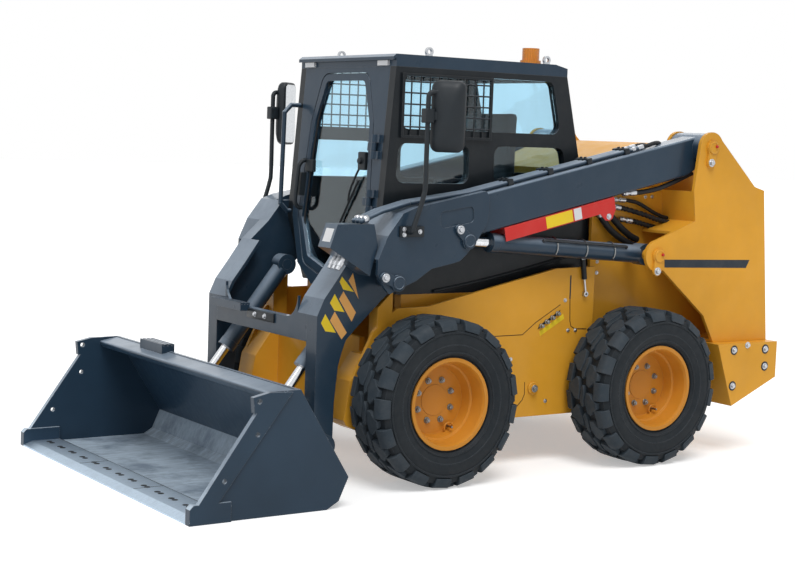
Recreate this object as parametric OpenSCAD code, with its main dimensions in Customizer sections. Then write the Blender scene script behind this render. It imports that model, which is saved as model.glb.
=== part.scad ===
// Skid steer loader with a low-profile bucket. Millimetres, X forward, Y to the left, Z up.
// Stations along X are counted from the middle of the wheelbase and shifted at the end,
// so that the origin lies under the middle of the whole machine, on the ground.

/* [Wheels] */
// Distance between the front and rear axles
wheelbase = 1340; // [1280:5:1400]
// Gap between a tyre and the frame
wheel_gap = 18; // [12:1:30]
// Outer diameter of a tyre over its lugs
tyre_d = 824; // [790:2:850]
// Width of a tyre
tyre_w = 306; // [280:2:320]
// Diameter of the rim's flange
rim_d = 448; // [420:2:470]
// Width of the rim over its flanges
rim_w = 262; // [240:2:275]
// Number of lugs on each shoulder of a tyre
lug_count = 17; // [12:1:22]

/* [Machine] */
// Reach of the cutting edge ahead of the middle of the wheelbase
edge_reach = 2108; // [2060:2:2160]
// Reach of the tail behind the middle of the wheelbase
tail_reach = 1575; // [1540:5:1620]
// Width of the frame over its drive cases
frame_w = 1090; // [1060:2:1100]
// Height of the frame's belly above the ground
belly_z = 255; // [220:5:290]
// Reach of a tower's outer plate outside the frame
tower_out = 195; // [185:1:205]
// Step of the engine bay's wall inside the frame
bay_step = 75; // [68:1:82]

/* [Loader arms] */
// Arm pivot behind the middle of the wheelbase
arm_pivot_back = 1075; // [1050:5:1100]
// Height of the arm pivot
arm_pivot_z = 1674; // [1640:2:1700]
// Width of a boom
boom_w = 120; // [100:2:130]
// Depth of a boom
boom_h = 195; // [180:1:205]
// Bucket pin ahead of the middle of the wheelbase
bucket_pin_x = 1198; // [1180:2:1220]
// Height of the bucket pin
bucket_pin_z = 200; // [190:2:220]

/* [Cylinders] */
// Lift cylinder's lower pin behind the middle of the wheelbase
lift_base_back = 722; // [700:2:740]
// Height of the lift cylinder's lower pin
lift_base_z = 1097; // [1080:1:1110]
// Lift rod pin ahead of the middle of the wheelbase
lift_eye_x = 488; // [470:1:500]
// Height of the lift rod pin
lift_eye_z = 1180; // [1165:1:1195]
// Radius of the lift cylinder's barrel
lift_barrel_r = 48; // [42:1:50]
// Radius of the lift cylinder's rod
lift_rod_r = 27; // [22:1:32]
// Tilt cylinder's upper pin ahead of the middle of the wheelbase
tilt_top_x = 895; // [885:1:905]
// Height of the tilt cylinder's upper pin
tilt_top_z = 983; // [970:1:995]
// Tilt rod pin ahead of the middle of the wheelbase
tilt_eye_x = 1335; // [1325:1:1345]
// Height of the tilt rod pin
tilt_eye_z = 415; // [405:1:425]
// Gap between a tilt cylinder and the leg beside it
tilt_gap = 22; // [16:1:24]
// Radius of the tilt cylinder's barrel
tilt_barrel_r = 44; // [38:1:46]
// Radius of the tilt cylinder's rod
tilt_rod_r = 24; // [20:1:28]

/* [Bucket] */
// Width of the bucket over its side cutters
bucket_w = 1954; // [1900:2:2000]
// Height of the bucket's top edge
bucket_h = 555; // [540:5:580]
// Thickness of the bucket's plates
bucket_t = 14; // [10:1:18]

/* [Cab] */
// Gap between the cab's sides and the engine bay's walls
cab_gap = 20; // [20:1:30]
// Height of the roof's top
roof_z = 2075; // [2050:5:2100]
// Thickness of the cab's walls
cab_t = 50; // [44:1:56]
// Thickness of the window panes
pane_t = 6; // [5:1:8]

/* [Hidden] */
$fn = 48;

// Colours of the paints and finishes
slate = [0.20, 0.25, 0.31];
ochre = [0.84, 0.60, 0.22];
black = [0.06, 0.07, 0.08];
steel = [0.70, 0.71, 0.73];
worn = [0.52, 0.53, 0.54];
rubber = [0.08, 0.08, 0.09];
tint = [0.45, 0.66, 0.64, 0.5];
amber = [0.95, 0.50, 0.05];
red = [0.70, 0.10, 0.09];

// Clearances: seated pieces, running pins, and the overlap of solids that are one piece
fit_gap = 0.3;
run_gap = 0.1;
over = 2;

// Places that several pieces share
centre_x = (tail_reach - edge_reach) / 2;
axle_x = wheelbase / 2;
axle_z = tyre_d / 2;
track = frame_w + 2 * wheel_gap + tyre_w;
tower_w = frame_w + 2 * tower_out;
bay_w = frame_w - 2 * bay_step;
cab_w = bay_w - 2 * cab_gap;
wheel_y = track / 2;
frame_y = frame_w / 2;
tower_y = tower_w / 2;
bay_y = bay_w / 2;
boom_shift = 5;
boom_y = (bay_y + tower_y) / 2 + boom_shift;
cab_y = cab_w / 2;
arm_pivot = [-arm_pivot_back, arm_pivot_z];
lift_base = [-lift_base_back, lift_base_z];
lift_eye = [lift_eye_x, lift_eye_z];
tilt_top = [tilt_top_x, tilt_top_z];
tilt_eye = [tilt_eye_x, tilt_eye_z];
bucket_pin = [bucket_pin_x, bucket_pin_z];
plate_t = 20;
knee_in_y = boom_y - boom_w / 2;
leg_t = 94;
tilt_y = knee_in_y - leg_t - tilt_gap - tilt_barrel_r;
knee_out_y = boom_y + boom_w / 2;
pin_r = 28;
pivot_r = 30;
eye_w = 76;

// Angles
full_turn = 360;
half_turn = 180;
quarter_turn = 90;
// Steps of an arc that rounds a corner
corner_steps = 6;

// Outline helpers: shares of a box to points, and corners to arcs of one radius or of one each
function in_box(o, s, shares) = [for (p = shares) [o[0] + p[0] * s[0], o[1] + p[1] * s[1]]];
function unit(v) = v / norm(v);
function at(p, a, d) = p + d * [cos(a), sin(a)];
function heading(a, b) = atan2(b[1] - a[1], b[0] - a[0]);
function turn_between(a, b) = let (d = b - a) d > half_turn ? d - full_turn : d < -half_turn ? d + full_turn : d;
function arc_corner(a, b, c, r) = r == 0 ? [b] :
    let (u = unit(a - b), w = unit(c - b), half = acos(max(-1, min(1, u * w))) / 2)
    let (mid = b + unit(u + w) * r / sin(half))
    let (p = b + u * r / tan(half) - mid, q = b + w * r / tan(half) - mid)
    let (start = atan2(p[1], p[0]), sweep = turn_between(start, atan2(q[1], q[0])), n = corner_steps)
    [for (i = [0 : n]) mid + r * [cos(start + sweep * i / n), sin(start + sweep * i / n)]];
function rounded(pts, r) = let (n = len(pts))
    [for (i = [0 : n - 1])
        each arc_corner(pts[(i + n - 1) % n], pts[i], pts[(i + 1) % n], is_list(r) ? r[i] : r)];

module piece(c) {
    color(c) translate([centre_x, 0, 0]) children();
}

module both_sides() {
    children();
    mirror([0, 1, 0]) children();
}

// A flat shape drawn in X and Z, standing between two planes of Y
module slab(y, t) {
    translate([0, y + t, 0]) rotate([90, 0, 0]) linear_extrude(t) children();
}

// A flat shape drawn in Y and Z, reaching from one X to another
module across(x0, x1) {
    translate([x0, 0, 0]) rotate([90, 0, 90]) linear_extrude(x1 - x0) children();
}

// A round bar along Y
module bar_y(p, r, y, l) {
    translate([p[0], y, p[1]]) rotate([-90, 0, 0]) cylinder(r = r, h = l);
}

// Children drawn along +Z are laid along a heading in the plane of X and Z
module lay(p, y, a) {
    translate([p[0], y, p[1]]) rotate([0, 90 - a, 0]) children();
}

// Block between two corners
module block(lo, hi) {
    translate(lo) cube(hi - lo);
}

// A round tube through points, with a ball in each bend
elbow_share = 1.05;

module tube(points, r) {
    for (i = [0 : len(points) - 2]) {
        d = points[i + 1] - points[i];
        translate(points[i]) rotate([0, acos(d[2] / norm(d)), atan2(d[1], d[0])]) cylinder(r = r, h = norm(d));
    }
    for (i = [1 : len(points) - 2]) translate(points[i]) sphere(r = r * elbow_share);
}

// A hinge in two halves: the outer one holds the pin, the inner one turns on it.
// The pin stands along Z, set out along X; leaves are blocks between two corners of X and Y.
hinge_l = 120;
knuckle_share = 0.32;
leaf_gap = 2;
outer_l = hinge_l * knuckle_share;
inner_l = hinge_l - 2 * outer_l - 2 * leaf_gap;

module hinge_outer(r, pin, out, lo, hi) {
    translate([out, 0, 0]) cylinder(r = pin, h = hinge_l);
    for (e = [0, hinge_l - outer_l]) translate([0, 0, e]) {
        translate([out, 0, 0]) cylinder(r = r, h = outer_l);
        block([lo[0], lo[1], 0], [hi[0], hi[1], outer_l]);
    }
}

module hinge_inner(r, pin, out, lo, hi) {
    translate([0, 0, outer_l + leaf_gap]) difference() {
        union() {
            translate([out, 0, 0]) cylinder(r = r, h = inner_l);
            block([lo[0], lo[1], 0], [hi[0], hi[1], inner_l]);
        }
        translate([out, 0, -over]) cylinder(r = pin + run_gap, h = inner_l + 2 * over);
    }
}

// Pad that joins a raised inner leaf to the sheet under it
module hinge_pad(y0, y1, x1) {
    translate([0, 0, outer_l + leaf_gap]) block([-over, y0, 0], [x1, y1, inner_l]);
}

// Frame: two drive cases, their side panels, belly, front plate, cab rails and the posts under the arms

case_w = 150;
case_nose_x = 1080;
case_tail_x = -1120;
case_deck_z = 620;
case_top_z = 1030;
case_shares = [[0, 0], [0.964, 0], [0.993, 0.08], [1, 0.15], [0.985, 0.67], [0.945, 1], [0, 1]];
panel_shares = [[0.3, 0.3], [0.985, 0.3], [0.93, 0.62], [0.87, 0.76], [0.785, 0.765], [0.42, 0.99], [0.3, 1]];
panel_t = 20;
belly_t = 16;
front_plate_x = 880;
front_plate_t = 30;
front_plate_top = 690;
rail_w = 55;
post_x = 820;
post_l = 85;
post_t = 75;
post_top_z = 930;
post_shares = [[0, 0], [1, 0], [1, 0.742], [0, 1]];

function in_case(top, shares) = in_box([case_tail_x, belly_z], [case_nose_x - case_tail_x, top - belly_z], shares);

module main_frame() {
    floor_y = frame_y - case_w;
    piece(ochre) {
        both_sides() {
            slab(floor_y, case_w) polygon(in_case(case_deck_z, case_shares));
            slab(frame_y - panel_t, panel_t) polygon(in_case(case_top_z, panel_shares));
            slab(frame_y - post_t, post_t) polygon(in_box([post_x, case_deck_z - over],
                [post_l, post_top_z - case_deck_z + over], post_shares));
            block([bay_front_x, floor_y, case_deck_z - over], [recess_x - pocket_t, floor_y + rail_w, cab_foot_z]);
        }
        block([case_tail_x, -floor_y - over, belly_z],
            [front_plate_x + front_plate_t, floor_y + over, belly_z + belly_t]);
        block([front_plate_x, -floor_y - over, belly_z],
            [front_plate_x + front_plate_t, floor_y + over, front_plate_top]);
    }
}

// Axle stubs: a round housing on each drive case with a spindle that ends flush in the wheel's disc

stub_r = 85;
spindle_r = 76;
disc_t = 14;
disc_back = 20;
spindle_proud = 2;
hub_face = wheel_y - disc_back;
spindle_end = hub_face + disc_t + spindle_proud;

module axle_stubs() {
    piece(black) for (sx = [-1, 1]) both_sides() {
        bar_y([sx * axle_x, axle_z], stub_r, frame_y, hub_face - fit_gap - frame_y);
        bar_y([sx * axle_x, axle_z], spindle_r, frame_y, spindle_end - frame_y);
    }
}

// Rear towers: an outer and an inner plate joined by a bent web, with a dome round each pivot

dome_r = 84;
lug_r = 84;
web_t = 16;
tower_inset = 5;
tower_lean = 80;
shoulder_l = 74;
shoulder_z = 1450;
tower_foot_z = case_deck_z;
tower_rear_x = -tail_reach + tower_inset;
tower_rear_top_x = tower_rear_x + tower_lean;
shoulder_x = tower_rear_top_x + shoulder_l;
neck_reach = 116;
neck_x = arm_pivot[0] + neck_reach;
neck_z = 1440;
throat_z = 1280;
foot_front_x = -1160;
foot_front_z = 770;
bay_front_x = -470;
dome_rear_a = 150;
dome_front_a = 12;
lug_top_a = 60;
lug_low_a = -118;
slope_share = 0.5;

module tower_outline() {
    polygon([
        [tower_rear_x, tower_foot_z],
        [tower_rear_top_x, shoulder_z],
        [shoulder_x, shoulder_z + plate_t],
        at(arm_pivot, dome_rear_a, dome_r),
        at(arm_pivot, dome_front_a, dome_r),
        [neck_x, neck_z],
        [neck_x - plate_t, throat_z],
        at(lift_base, lug_top_a, lug_r),
        lift_base,
        at(lift_base, lug_low_a, lug_r),
        [foot_front_x + lug_r, foot_front_z],
        [foot_front_x, tower_foot_z],
    ]);
    translate(arm_pivot) circle(r = dome_r);
    translate(lift_base) circle(r = lug_r);
}

module bay_wall_outline() {
    polygon([
        [tower_rear_x, tower_foot_z],
        [tower_rear_top_x, shoulder_z],
        [shoulder_x, shoulder_z + plate_t],
        at(arm_pivot, dome_rear_a, dome_r),
        at(arm_pivot, dome_front_a, dome_r),
        [neck_x, shoulder_z],
        [bay_front_x, shoulder_z],
        [bay_front_x, tower_foot_z],
    ]);
    translate(arm_pivot) circle(r = dome_r);
}

// Bent web between the plates of a tower: down the neck and along the slope, up the rear and along the foot
module tower_web() {
    throat = [neck_x - plate_t, throat_z];
    slope_end = throat + (at(lift_base, lug_top_a, lug_r) - throat) * slope_share;
    polygon([
        [neck_x - web_t, neck_z],
        [neck_x, neck_z],
        throat,
        slope_end,
        slope_end - [0, web_t],
        throat - [web_t, web_t],
    ]);
    polygon([
        [tower_rear_x, tower_foot_z],
        [tower_rear_top_x, shoulder_z],
        [tower_rear_top_x + web_t, shoulder_z],
        [tower_rear_x + web_t, tower_foot_z],
    ]);
    polygon([
        [tower_rear_x, tower_foot_z],
        [foot_front_x, tower_foot_z],
        [foot_front_x, tower_foot_z + web_t],
        [tower_rear_x, tower_foot_z + web_t],
    ]);
}

module tower() {
    tower_d = tower_y - bay_y;
    difference() {
        union() {
            slab(tower_y - plate_t, plate_t) tower_outline();
            slab(bay_y, plate_t) bay_wall_outline();
            slab(bay_y + plate_t - over, tower_d - 2 * plate_t + 2 * over) tower_web();
        }
        for (p = [arm_pivot, lift_base]) bar_y(p, pivot_r, bay_y - over, tower_d + 2 * over);
    }
}

module left_tower() {
    piece(ochre) tower();
}

// The right tower carries the hinge pins of the rear door
gate_hinge_r = 9;
gate_pin_r = 5;
gate_hinge_y = -bay_y + gate_hinge_r + over;
gate_hinge_zs = [740, 1200];
rear_lean = atan2(tower_rear_top_x - tower_rear_x, shoulder_z - tower_foot_z);

function tower_rear_at(z) = tower_rear_x + tower_lean * (z - tower_foot_z) / (shoulder_z - tower_foot_z);

module on_rear(y, z) {
    translate([tower_rear_at(z), y, z]) rotate([0, rear_lean, 0]) children();
}

module right_tower() {
    piece(ochre) {
        mirror([0, 1, 0]) tower();
        for (z = gate_hinge_zs) on_rear(gate_hinge_y, z)
            hinge_outer(gate_hinge_r, gate_pin_r, 0, [-gate_hinge_r, -plate_t - gate_hinge_r], [over, 0]);
    }
}

// Pins of the towers, each with a keeper plate outside

keeper_r = 40;
keeper_t = 14;
keeper_reach = 80;
keeper_end_r = 26;
tower_keeper_a = -82;

module keeper(p, a, y) {
    slab(y, keeper_t) {
        translate(p) circle(r = keeper_r);
        translate(at(p, a, keeper_reach)) circle(r = keeper_end_r);
        translate(p) rotate(a) translate([0, -keeper_end_r]) square([keeper_reach, 2 * keeper_end_r]);
    }
}

module tower_pins() {
    piece(steel) both_sides() for (p = [arm_pivot, lift_base]) {
        bar_y(p, pivot_r - run_gap, bay_y, tower_y - bay_y);
        keeper(p, tower_keeper_a, tower_y);
    }
}

// Rear weights bolted under the towers, and the beam between them

weight_out = 80;
weight_shares = [[0, 1], [0, 0.42], [0.73, 0], [1, 1]];
weight_l = tail_reach + case_tail_x - fit_gap;
weight_h = 343;
beam_h = 250;
beam_t = 60;

module rear_weights() {
    piece(ochre) both_sides() slab(bay_y, tower_y + weight_out - bay_y)
        polygon(in_box([-tail_reach, tower_foot_z - weight_h - fit_gap], [weight_l, weight_h], weight_shares));
}

module tail_beam() {
    piece(ochre) {
        block([tower_rear_x, -bay_y, belly_z], [tower_rear_x + beam_t, bay_y, tower_foot_z]);
        block([tower_rear_x, -bay_y, belly_z], [case_tail_x, bay_y, belly_z + belly_t]);
    }
}

// Engine hood between the towers, open below, and the engine under it

hood_front_x = -500;
hood_t = 12;
hood_crown_z = 1690;
hood_tail = 60;
hood_l = tower_rear_top_x + hood_tail - hood_front_x;
hood_shares = [[0, 0], [0, 0.35], [0.36, 0.92], [0.42, 1], [0.8, 0.9], [1, 0.55], [1, 0]];
engine_l = 620;
engine_gap = 190;
engine_h = 640;
engine_x = -1350;
engine_z = belly_z + belly_t;

module engine_hood() {
    hood_y = bay_y - fit_gap;
    piece(ochre) difference() {
        slab(-hood_y, 2 * hood_y)
            polygon(in_box([hood_front_x, shoulder_z], [hood_l, hood_crown_z - shoulder_z], hood_shares));
        slab(-hood_y + hood_t, 2 * (hood_y - hood_t))
            polygon(in_box([hood_front_x - hood_t, shoulder_z - over],
                [hood_l + 2 * hood_t, hood_crown_z - shoulder_z - hood_t + over], hood_shares));
    }
}

module engine_block() {
    engine_y = bay_y - engine_gap;
    piece(black) block([engine_x, -engine_y, engine_z], [engine_x + engine_l, engine_y, engine_z + engine_h]);
}

// Cab: base, two sides, rear wall, front frame and roof

cab_front_x = 785;
cab_foot_x = 870;
cab_foot_z = 900;
cab_rear_x = -490;
cab_waist_z = 1190;
roof_t = 60;
roof_rear_x = -290;
cab_top_z = roof_z - roof_t;
header_h = 30;
header_z = cab_top_z - header_h;
pillar_w = 60;
rear_pillar_w = 100;
taper_head_z = 1240;
taper_foot_z = 1000;
barrel_gap = 41;
front_mid_y = tilt_y - tilt_barrel_r - barrel_gap;
foot_step = 155;
front_foot_y = front_mid_y - foot_step;
recess_x = 740;
pocket_t = 30;
sill_z = 1450;
rail_low_z = 1644;
rail_high_z = 1714;
mid_post_x = 168;
mid_post_l = 157;
window_r = 45;

function cab_rear_at(z) = z < cab_waist_z ? cab_rear_x
    : cab_rear_x + (roof_rear_x - cab_rear_x) * (z - cab_waist_z) / (cab_top_z - cab_waist_z);
function cab_front_at(z) = cab_foot_x + (cab_front_x - cab_foot_x) * (z - cab_foot_z) / (cab_top_z - cab_foot_z);
function window_rear(z) = [cab_rear_at(z) + rear_pillar_w, z];
function window_front(z) = [cab_front_at(z) - pillar_w, z];

cab_outline = [
    [cab_rear_x, cab_foot_z],
    [recess_x, cab_foot_z],
    [cab_front_at(taper_head_z), taper_head_z],
    [cab_front_x, cab_top_z],
    [roof_rear_x, cab_top_z],
    [cab_rear_x, cab_waist_z],
];

// Side windows: one long above the rail, two below it with a post between them
window_outlines = [
    rounded([window_rear(rail_high_z), window_front(rail_high_z), window_front(header_z), window_rear(header_z)],
        window_r),
    rounded([window_rear(sill_z), [mid_post_x, sill_z], [mid_post_x, rail_low_z], window_rear(rail_low_z)], window_r),
    rounded([[mid_post_x + mid_post_l, sill_z], window_front(sill_z), window_front(rail_low_z),
        [mid_post_x + mid_post_l, rail_low_z]], window_r),
];

module windows() {
    for (w = window_outlines) polygon(w);
}

module cab_side() {
    slab(cab_y - cab_t, cab_t) difference() {
        polygon(cab_outline);
        windows();
    }
}

module left_cab_side() {
    piece(black) cab_side();
}

module right_cab_side() {
    piece(black) mirror([0, 1, 0]) cab_side();
}

floor_t = 40;
cab_in_y = cab_y - cab_t;

module cab_base() {
    piece(black) block([cab_rear_x, -cab_in_y, cab_foot_z], [recess_x - pocket_t, cab_in_y, cab_foot_z + floor_t]);
}

rear_sill_z = 1500;

module rear_window(over_x) {
    block([cab_rear_x - over_x, -cab_in_y + pillar_w, rear_sill_z],
        [roof_rear_x + cab_t + over_x, cab_in_y - pillar_w, header_z]);
}

module cab_rear() {
    piece(black) difference() {
        slab(-cab_in_y, 2 * cab_in_y) polygon([
            [cab_rear_x, cab_foot_z + floor_t],
            [cab_rear_x, cab_waist_z],
            [roof_rear_x, cab_top_z],
            [roof_rear_x + cab_t, cab_top_z],
            [cab_rear_x + cab_t, cab_waist_z],
            [cab_rear_x + cab_t, cab_foot_z + floor_t],
        ]);
        rear_window(over);
    }
}

// Front frame round the door opening: full width above, tapered below between two pockets
door_gap = 6;
frame_bar_w = 55;
door_y = cab_in_y - frame_bar_w;
door_foot_z = cab_foot_z + frame_bar_w;
door_head_z = cab_top_z - frame_bar_w / 2;
door_shoulder_in = 45;
door_shoulder_y = door_y - door_shoulder_in;
door_shoulder_z = 1740;
door_head_in = 125;
door_head_y = door_y - door_head_in;
door_t = 40;
door_corner_r = 70;
front_lean = atan2(cab_foot_x - cab_front_x, cab_top_z - cab_foot_z);
hinge_zs = [1290, 1560];
hinge_out = 16;
hinge_r = 14;
hinge_pin_r = 8;
leaf_out_w = 40;
leaf_in_w = 57;
leaf_lift = 4;

// Outlines in Y and Z
function front_shape(inset) = [
    [-front_foot_y + inset, cab_foot_z + inset],
    [front_foot_y - inset, cab_foot_z + inset],
    [front_mid_y - inset, taper_foot_z],
    [cab_in_y - inset, taper_head_z],
    [cab_in_y - inset, cab_top_z - inset],
    [-cab_in_y + inset, cab_top_z - inset],
    [-cab_in_y + inset, taper_head_z],
    [-front_mid_y + inset, taper_foot_z],
];

function door_shape(inset) = rounded([
    [-front_foot_y + frame_bar_w + inset, door_foot_z + inset],
    [front_foot_y - frame_bar_w - inset, door_foot_z + inset],
    [front_mid_y - frame_bar_w - inset, taper_foot_z + inset],
    [door_y - inset, taper_head_z],
    [door_shoulder_y - inset, door_shoulder_z],
    [door_head_y - inset, door_head_z - inset],
    [-door_head_y + inset, door_head_z - inset],
    [-door_shoulder_y + inset, door_shoulder_z],
    [-door_y + inset, taper_head_z],
    [-front_mid_y + frame_bar_w + inset, taper_foot_z + inset],
], door_corner_r - inset);

// A sheet along the leaning front, set back behind its face
module front_sheet(back, t) {
    slab(-cab_in_y, 2 * cab_in_y) polygon([
        [cab_foot_x - back - t, cab_foot_z],
        [cab_foot_x - back, cab_foot_z],
        [cab_front_x - back, cab_top_z],
        [cab_front_x - back - t, cab_top_z],
    ]);
}

// Children stand on the leaning front, X outwards and Z up along it
module on_front(y, z) {
    translate([cab_front_at(z), y, z]) rotate([0, -front_lean, 0]) children();
}

module cab_front() {
    head_x = cab_front_at(taper_head_z);
    piece(black) {
        difference() {
            union() {
                intersection() {
                    front_sheet(0, pillar_w);
                    across(0, cab_foot_x) polygon(front_shape(0));
                }
                intersection() {
                    slab(-cab_in_y, 2 * cab_in_y) polygon([
                        [recess_x - pocket_t, cab_foot_z],
                        [cab_foot_x, cab_foot_z],
                        [head_x, taper_head_z],
                        [head_x - pocket_t, taper_head_z],
                    ]);
                    across(0, cab_foot_x) difference() {
                        polygon(front_shape(0));
                        polygon(front_shape(pocket_t));
                    }
                }
                difference() {
                    slab(-cab_in_y, 2 * cab_in_y) polygon([
                        [recess_x - pocket_t, cab_foot_z],
                        [recess_x, cab_foot_z],
                        [head_x, taper_head_z],
                        [head_x - pocket_t, taper_head_z],
                    ]);
                    across(0, cab_foot_x) polygon(front_shape(pocket_t));
                }
            }
            across(0, cab_foot_x) polygon(door_shape(0));
        }
        for (z = hinge_zs) on_front(door_y, z)
            hinge_outer(hinge_r, hinge_pin_r, hinge_out, [-over, 0], [hinge_out, leaf_out_w]);
    }
}

// Roof: a plate with a visor in front, on two side rails and two headers
visor_out = 18;
roof_plate_t = 16;
roof_rail_w = 60;
roof_slope_l = 80;
roof_slope_h = 18;
visor_drop = 14;

module cab_roof() {
    plate_z = roof_z - roof_plate_t;
    slope_x = roof_rear_x + roof_slope_l;
    rail = [
        [cab_front_x, cab_top_z],
        [cab_front_x, plate_z + over],
        [slope_x, plate_z + over],
        [roof_rear_x, plate_z - roof_slope_h + over],
        [roof_rear_x, cab_top_z],
    ];
    piece(slate) {
        slab(-cab_y, cab_w) polygon([
            [roof_rear_x, plate_z - roof_slope_h],
            [slope_x, plate_z],
            [cab_front_x, plate_z],
            [cab_front_x + visor_out, plate_z - visor_drop],
            [cab_front_x + visor_out, roof_z - visor_drop],
            [cab_front_x, roof_z],
            [slope_x, roof_z],
            [roof_rear_x, roof_z - roof_slope_h],
        ]);
        both_sides() slab(cab_y - roof_rail_w, roof_rail_w) polygon(rail);
        intersection() {
            slab(-cab_y, cab_w) polygon(rail);
            for (x = [roof_rear_x, cab_front_x - roof_rail_w])
                block([x, -cab_y, cab_top_z], [x + roof_rail_w, cab_y, roof_z]);
        }
    }
}

// Panes

module side_panes() {
    piece(tint) both_sides() slab(cab_y - cab_t / 2 - pane_t / 2, pane_t) windows();
}

module rear_pane() {
    pane_x = cab_t / 2;
    piece(tint) intersection() {
        slab(-cab_in_y + pillar_w, 2 * (cab_in_y - pillar_w)) polygon([
            [cab_rear_x + pane_x, cab_waist_z],
            [roof_rear_x + pane_x, cab_top_z],
            [roof_rear_x + pane_x + pane_t, cab_top_z],
            [cab_rear_x + pane_x + pane_t, cab_waist_z],
        ]);
        rear_window(0);
    }
}

// Wire guards over the front half of the upper side windows

guard_rear_x = 200;
guard_foot_z = 1670;
wire_r = 4;
wire_pitch = 55;
guard_bar = 14;

module guard_panel() {
    front = cab_front_at(guard_foot_z) - pillar_w;
    difference() {
        block([guard_rear_x, cab_y, guard_foot_z], [front, cab_y + guard_bar, header_z]);
        block([guard_rear_x + guard_bar, cab_y - over, guard_foot_z + guard_bar],
            [front - guard_bar, cab_y + guard_bar + over, header_z - guard_bar]);
    }
    for (x = [guard_rear_x + wire_pitch : wire_pitch : front - guard_bar])
        translate([x, cab_y + guard_bar / 2, guard_foot_z]) cylinder(r = wire_r, h = header_z - guard_foot_z, $fn = 8);
    for (z = [guard_foot_z + wire_pitch : wire_pitch : header_z - guard_bar])
        translate([guard_rear_x, cab_y + guard_bar / 2, z]) rotate([0, 90, 0])
            cylinder(r = wire_r, h = front - guard_rear_x, $fn = 8);
}

module window_guards() {
    piece(black) both_sides() guard_panel();
}

// Seat and control levers

seat_x = -190;
seat_w = 480;
seat_l = 570;
seat_h = 920;
seat_shares = [[0.12, 0], [0.85, 0], [0.85, 0.27], [1, 0.27], [1, 0.4], [0.24, 0.4], [0.12, 1], [-0.06, 1], [0, 0.27]];

module seat() {
    piece(black) slab(-seat_w / 2, seat_w)
        polygon(in_box([seat_x, cab_foot_z + floor_t], [seat_l, seat_h], seat_shares));
}

lever_x = 400;
lever_in = 150;
lever_r = 11;
lever_h = 420;
knob_r = 26;
knob_h = 104;

module control_levers() {
    piece(black) both_sides() translate([lever_x, cab_y - lever_in, cab_foot_z + floor_t]) {
        cylinder(r = lever_r, h = lever_h);
        translate([0, 0, lever_h]) cylinder(r = knob_r, h = knob_h);
    }
}

// Roof lamps under the visor, beacon and lifting eyes

lamp_in = 103;
lamp_w = 90;
lamp_h = 24;
lamp_l = 14;
lamp_lift = 4;

module roof_lamps() {
    lamp_y = cab_y - lamp_in;
    piece(steel) both_sides() block([cab_front_x + fit_gap, lamp_y - lamp_w / 2, cab_top_z + lamp_lift],
        [cab_front_x + lamp_l, lamp_y + lamp_w / 2, cab_top_z + lamp_lift + lamp_h]);
}

beacon_x = -160;
beacon_in = 150;
beacon_r = 55;
beacon_h = 84;
beacon_base_share = 0.25;
beacon_dome_share = 0.82;

module beacon() {
    piece(amber) translate([beacon_x, cab_y - beacon_in, roof_z]) {
        cylinder(r = beacon_r, h = beacon_h * beacon_base_share);
        cylinder(r = beacon_r * beacon_dome_share, h = beacon_h);
    }
}

eye_front_x = 565;
eye_rear_x = -180;
eye_in = 42;
eye_y = cab_y - eye_in;
eye_r = 22;
eye_bore_r = 12;
eye_t = 14;
eye_foot_share = 0.8;

module lifting_eyes() {
    piece(steel) both_sides() for (x = [eye_front_x, eye_rear_x]) difference() {
        slab(eye_y - eye_t / 2, eye_t) {
            translate([x, roof_z + eye_r]) circle(r = eye_r);
            translate([x - eye_r * eye_foot_share, roof_z]) square([2 * eye_r * eye_foot_share, eye_r]);
        }
        bar_y([x, roof_z + eye_r], eye_bore_r, eye_y - eye_t, 2 * eye_t);
    }
}

// Grab handle on the right front pillar

handle_r = 12;
handle_foot_z = 1262;
handle_head_z = 1820;
handle_foot_out = 62;
handle_head_out = 95;
handle_bend = 40;
handle_y = -cab_y + cab_t / 2;

module grab_handle() {
    foot_x = cab_front_at(handle_foot_z - handle_r) + fit_gap;
    head_x = cab_front_at(handle_head_z - handle_r) + fit_gap;
    piece(slate) tube([
        [foot_x, handle_y, handle_foot_z],
        [foot_x + handle_foot_out - handle_bend, handle_y, handle_foot_z],
        [foot_x + handle_foot_out, handle_y, handle_foot_z + handle_bend],
        [head_x + handle_head_out, handle_y, handle_head_z - handle_bend],
        [head_x + handle_head_out - handle_bend, handle_y, handle_head_z],
        [head_x, handle_y, handle_head_z],
    ], handle_r);
}

// Front door: frame, pane and latch

door_bar = 34;

module door_frame() {
    piece(slate) {
        difference() {
            intersection() {
                front_sheet(0, door_t);
                across(0, cab_foot_x) polygon(door_shape(door_gap));
            }
            across(0, cab_foot_x) polygon(door_shape(door_gap + door_bar));
        }
        for (z = hinge_zs) on_front(door_y, z) {
            hinge_inner(hinge_r, hinge_pin_r, hinge_out, [leaf_lift, -leaf_in_w], [hinge_out, -door_gap / 2]);
            hinge_pad(-leaf_in_w, -leaf_in_w + door_bar / 2, leaf_lift + over);
        }
    }
}

module door_pane() {
    piece(tint) intersection() {
        front_sheet(door_t / 2, pane_t);
        across(0, cab_foot_x) polygon(door_shape(door_gap + door_bar));
    }
}

latch_z = 1350;
latch_h = 120;
latch_w = 30;
latch_l = 30;
latch_in = 12;

module door_latch() {
    foot_x = cab_front_at(latch_z);
    head_x = cab_front_at(latch_z + latch_h);
    piece(black) slab(-door_y + door_gap + latch_in, latch_w) polygon([
        [foot_x + fit_gap, latch_z],
        [foot_x + latch_l, latch_z],
        [head_x + latch_l, latch_z + latch_h],
        [head_x + fit_gap, latch_z + latch_h],
    ]);
}

// Rear door that closes the engine bay

gate_t = 50;
gate_gap = 8;
gate_inset = 10;
gate_leaf_w = 40;

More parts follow.
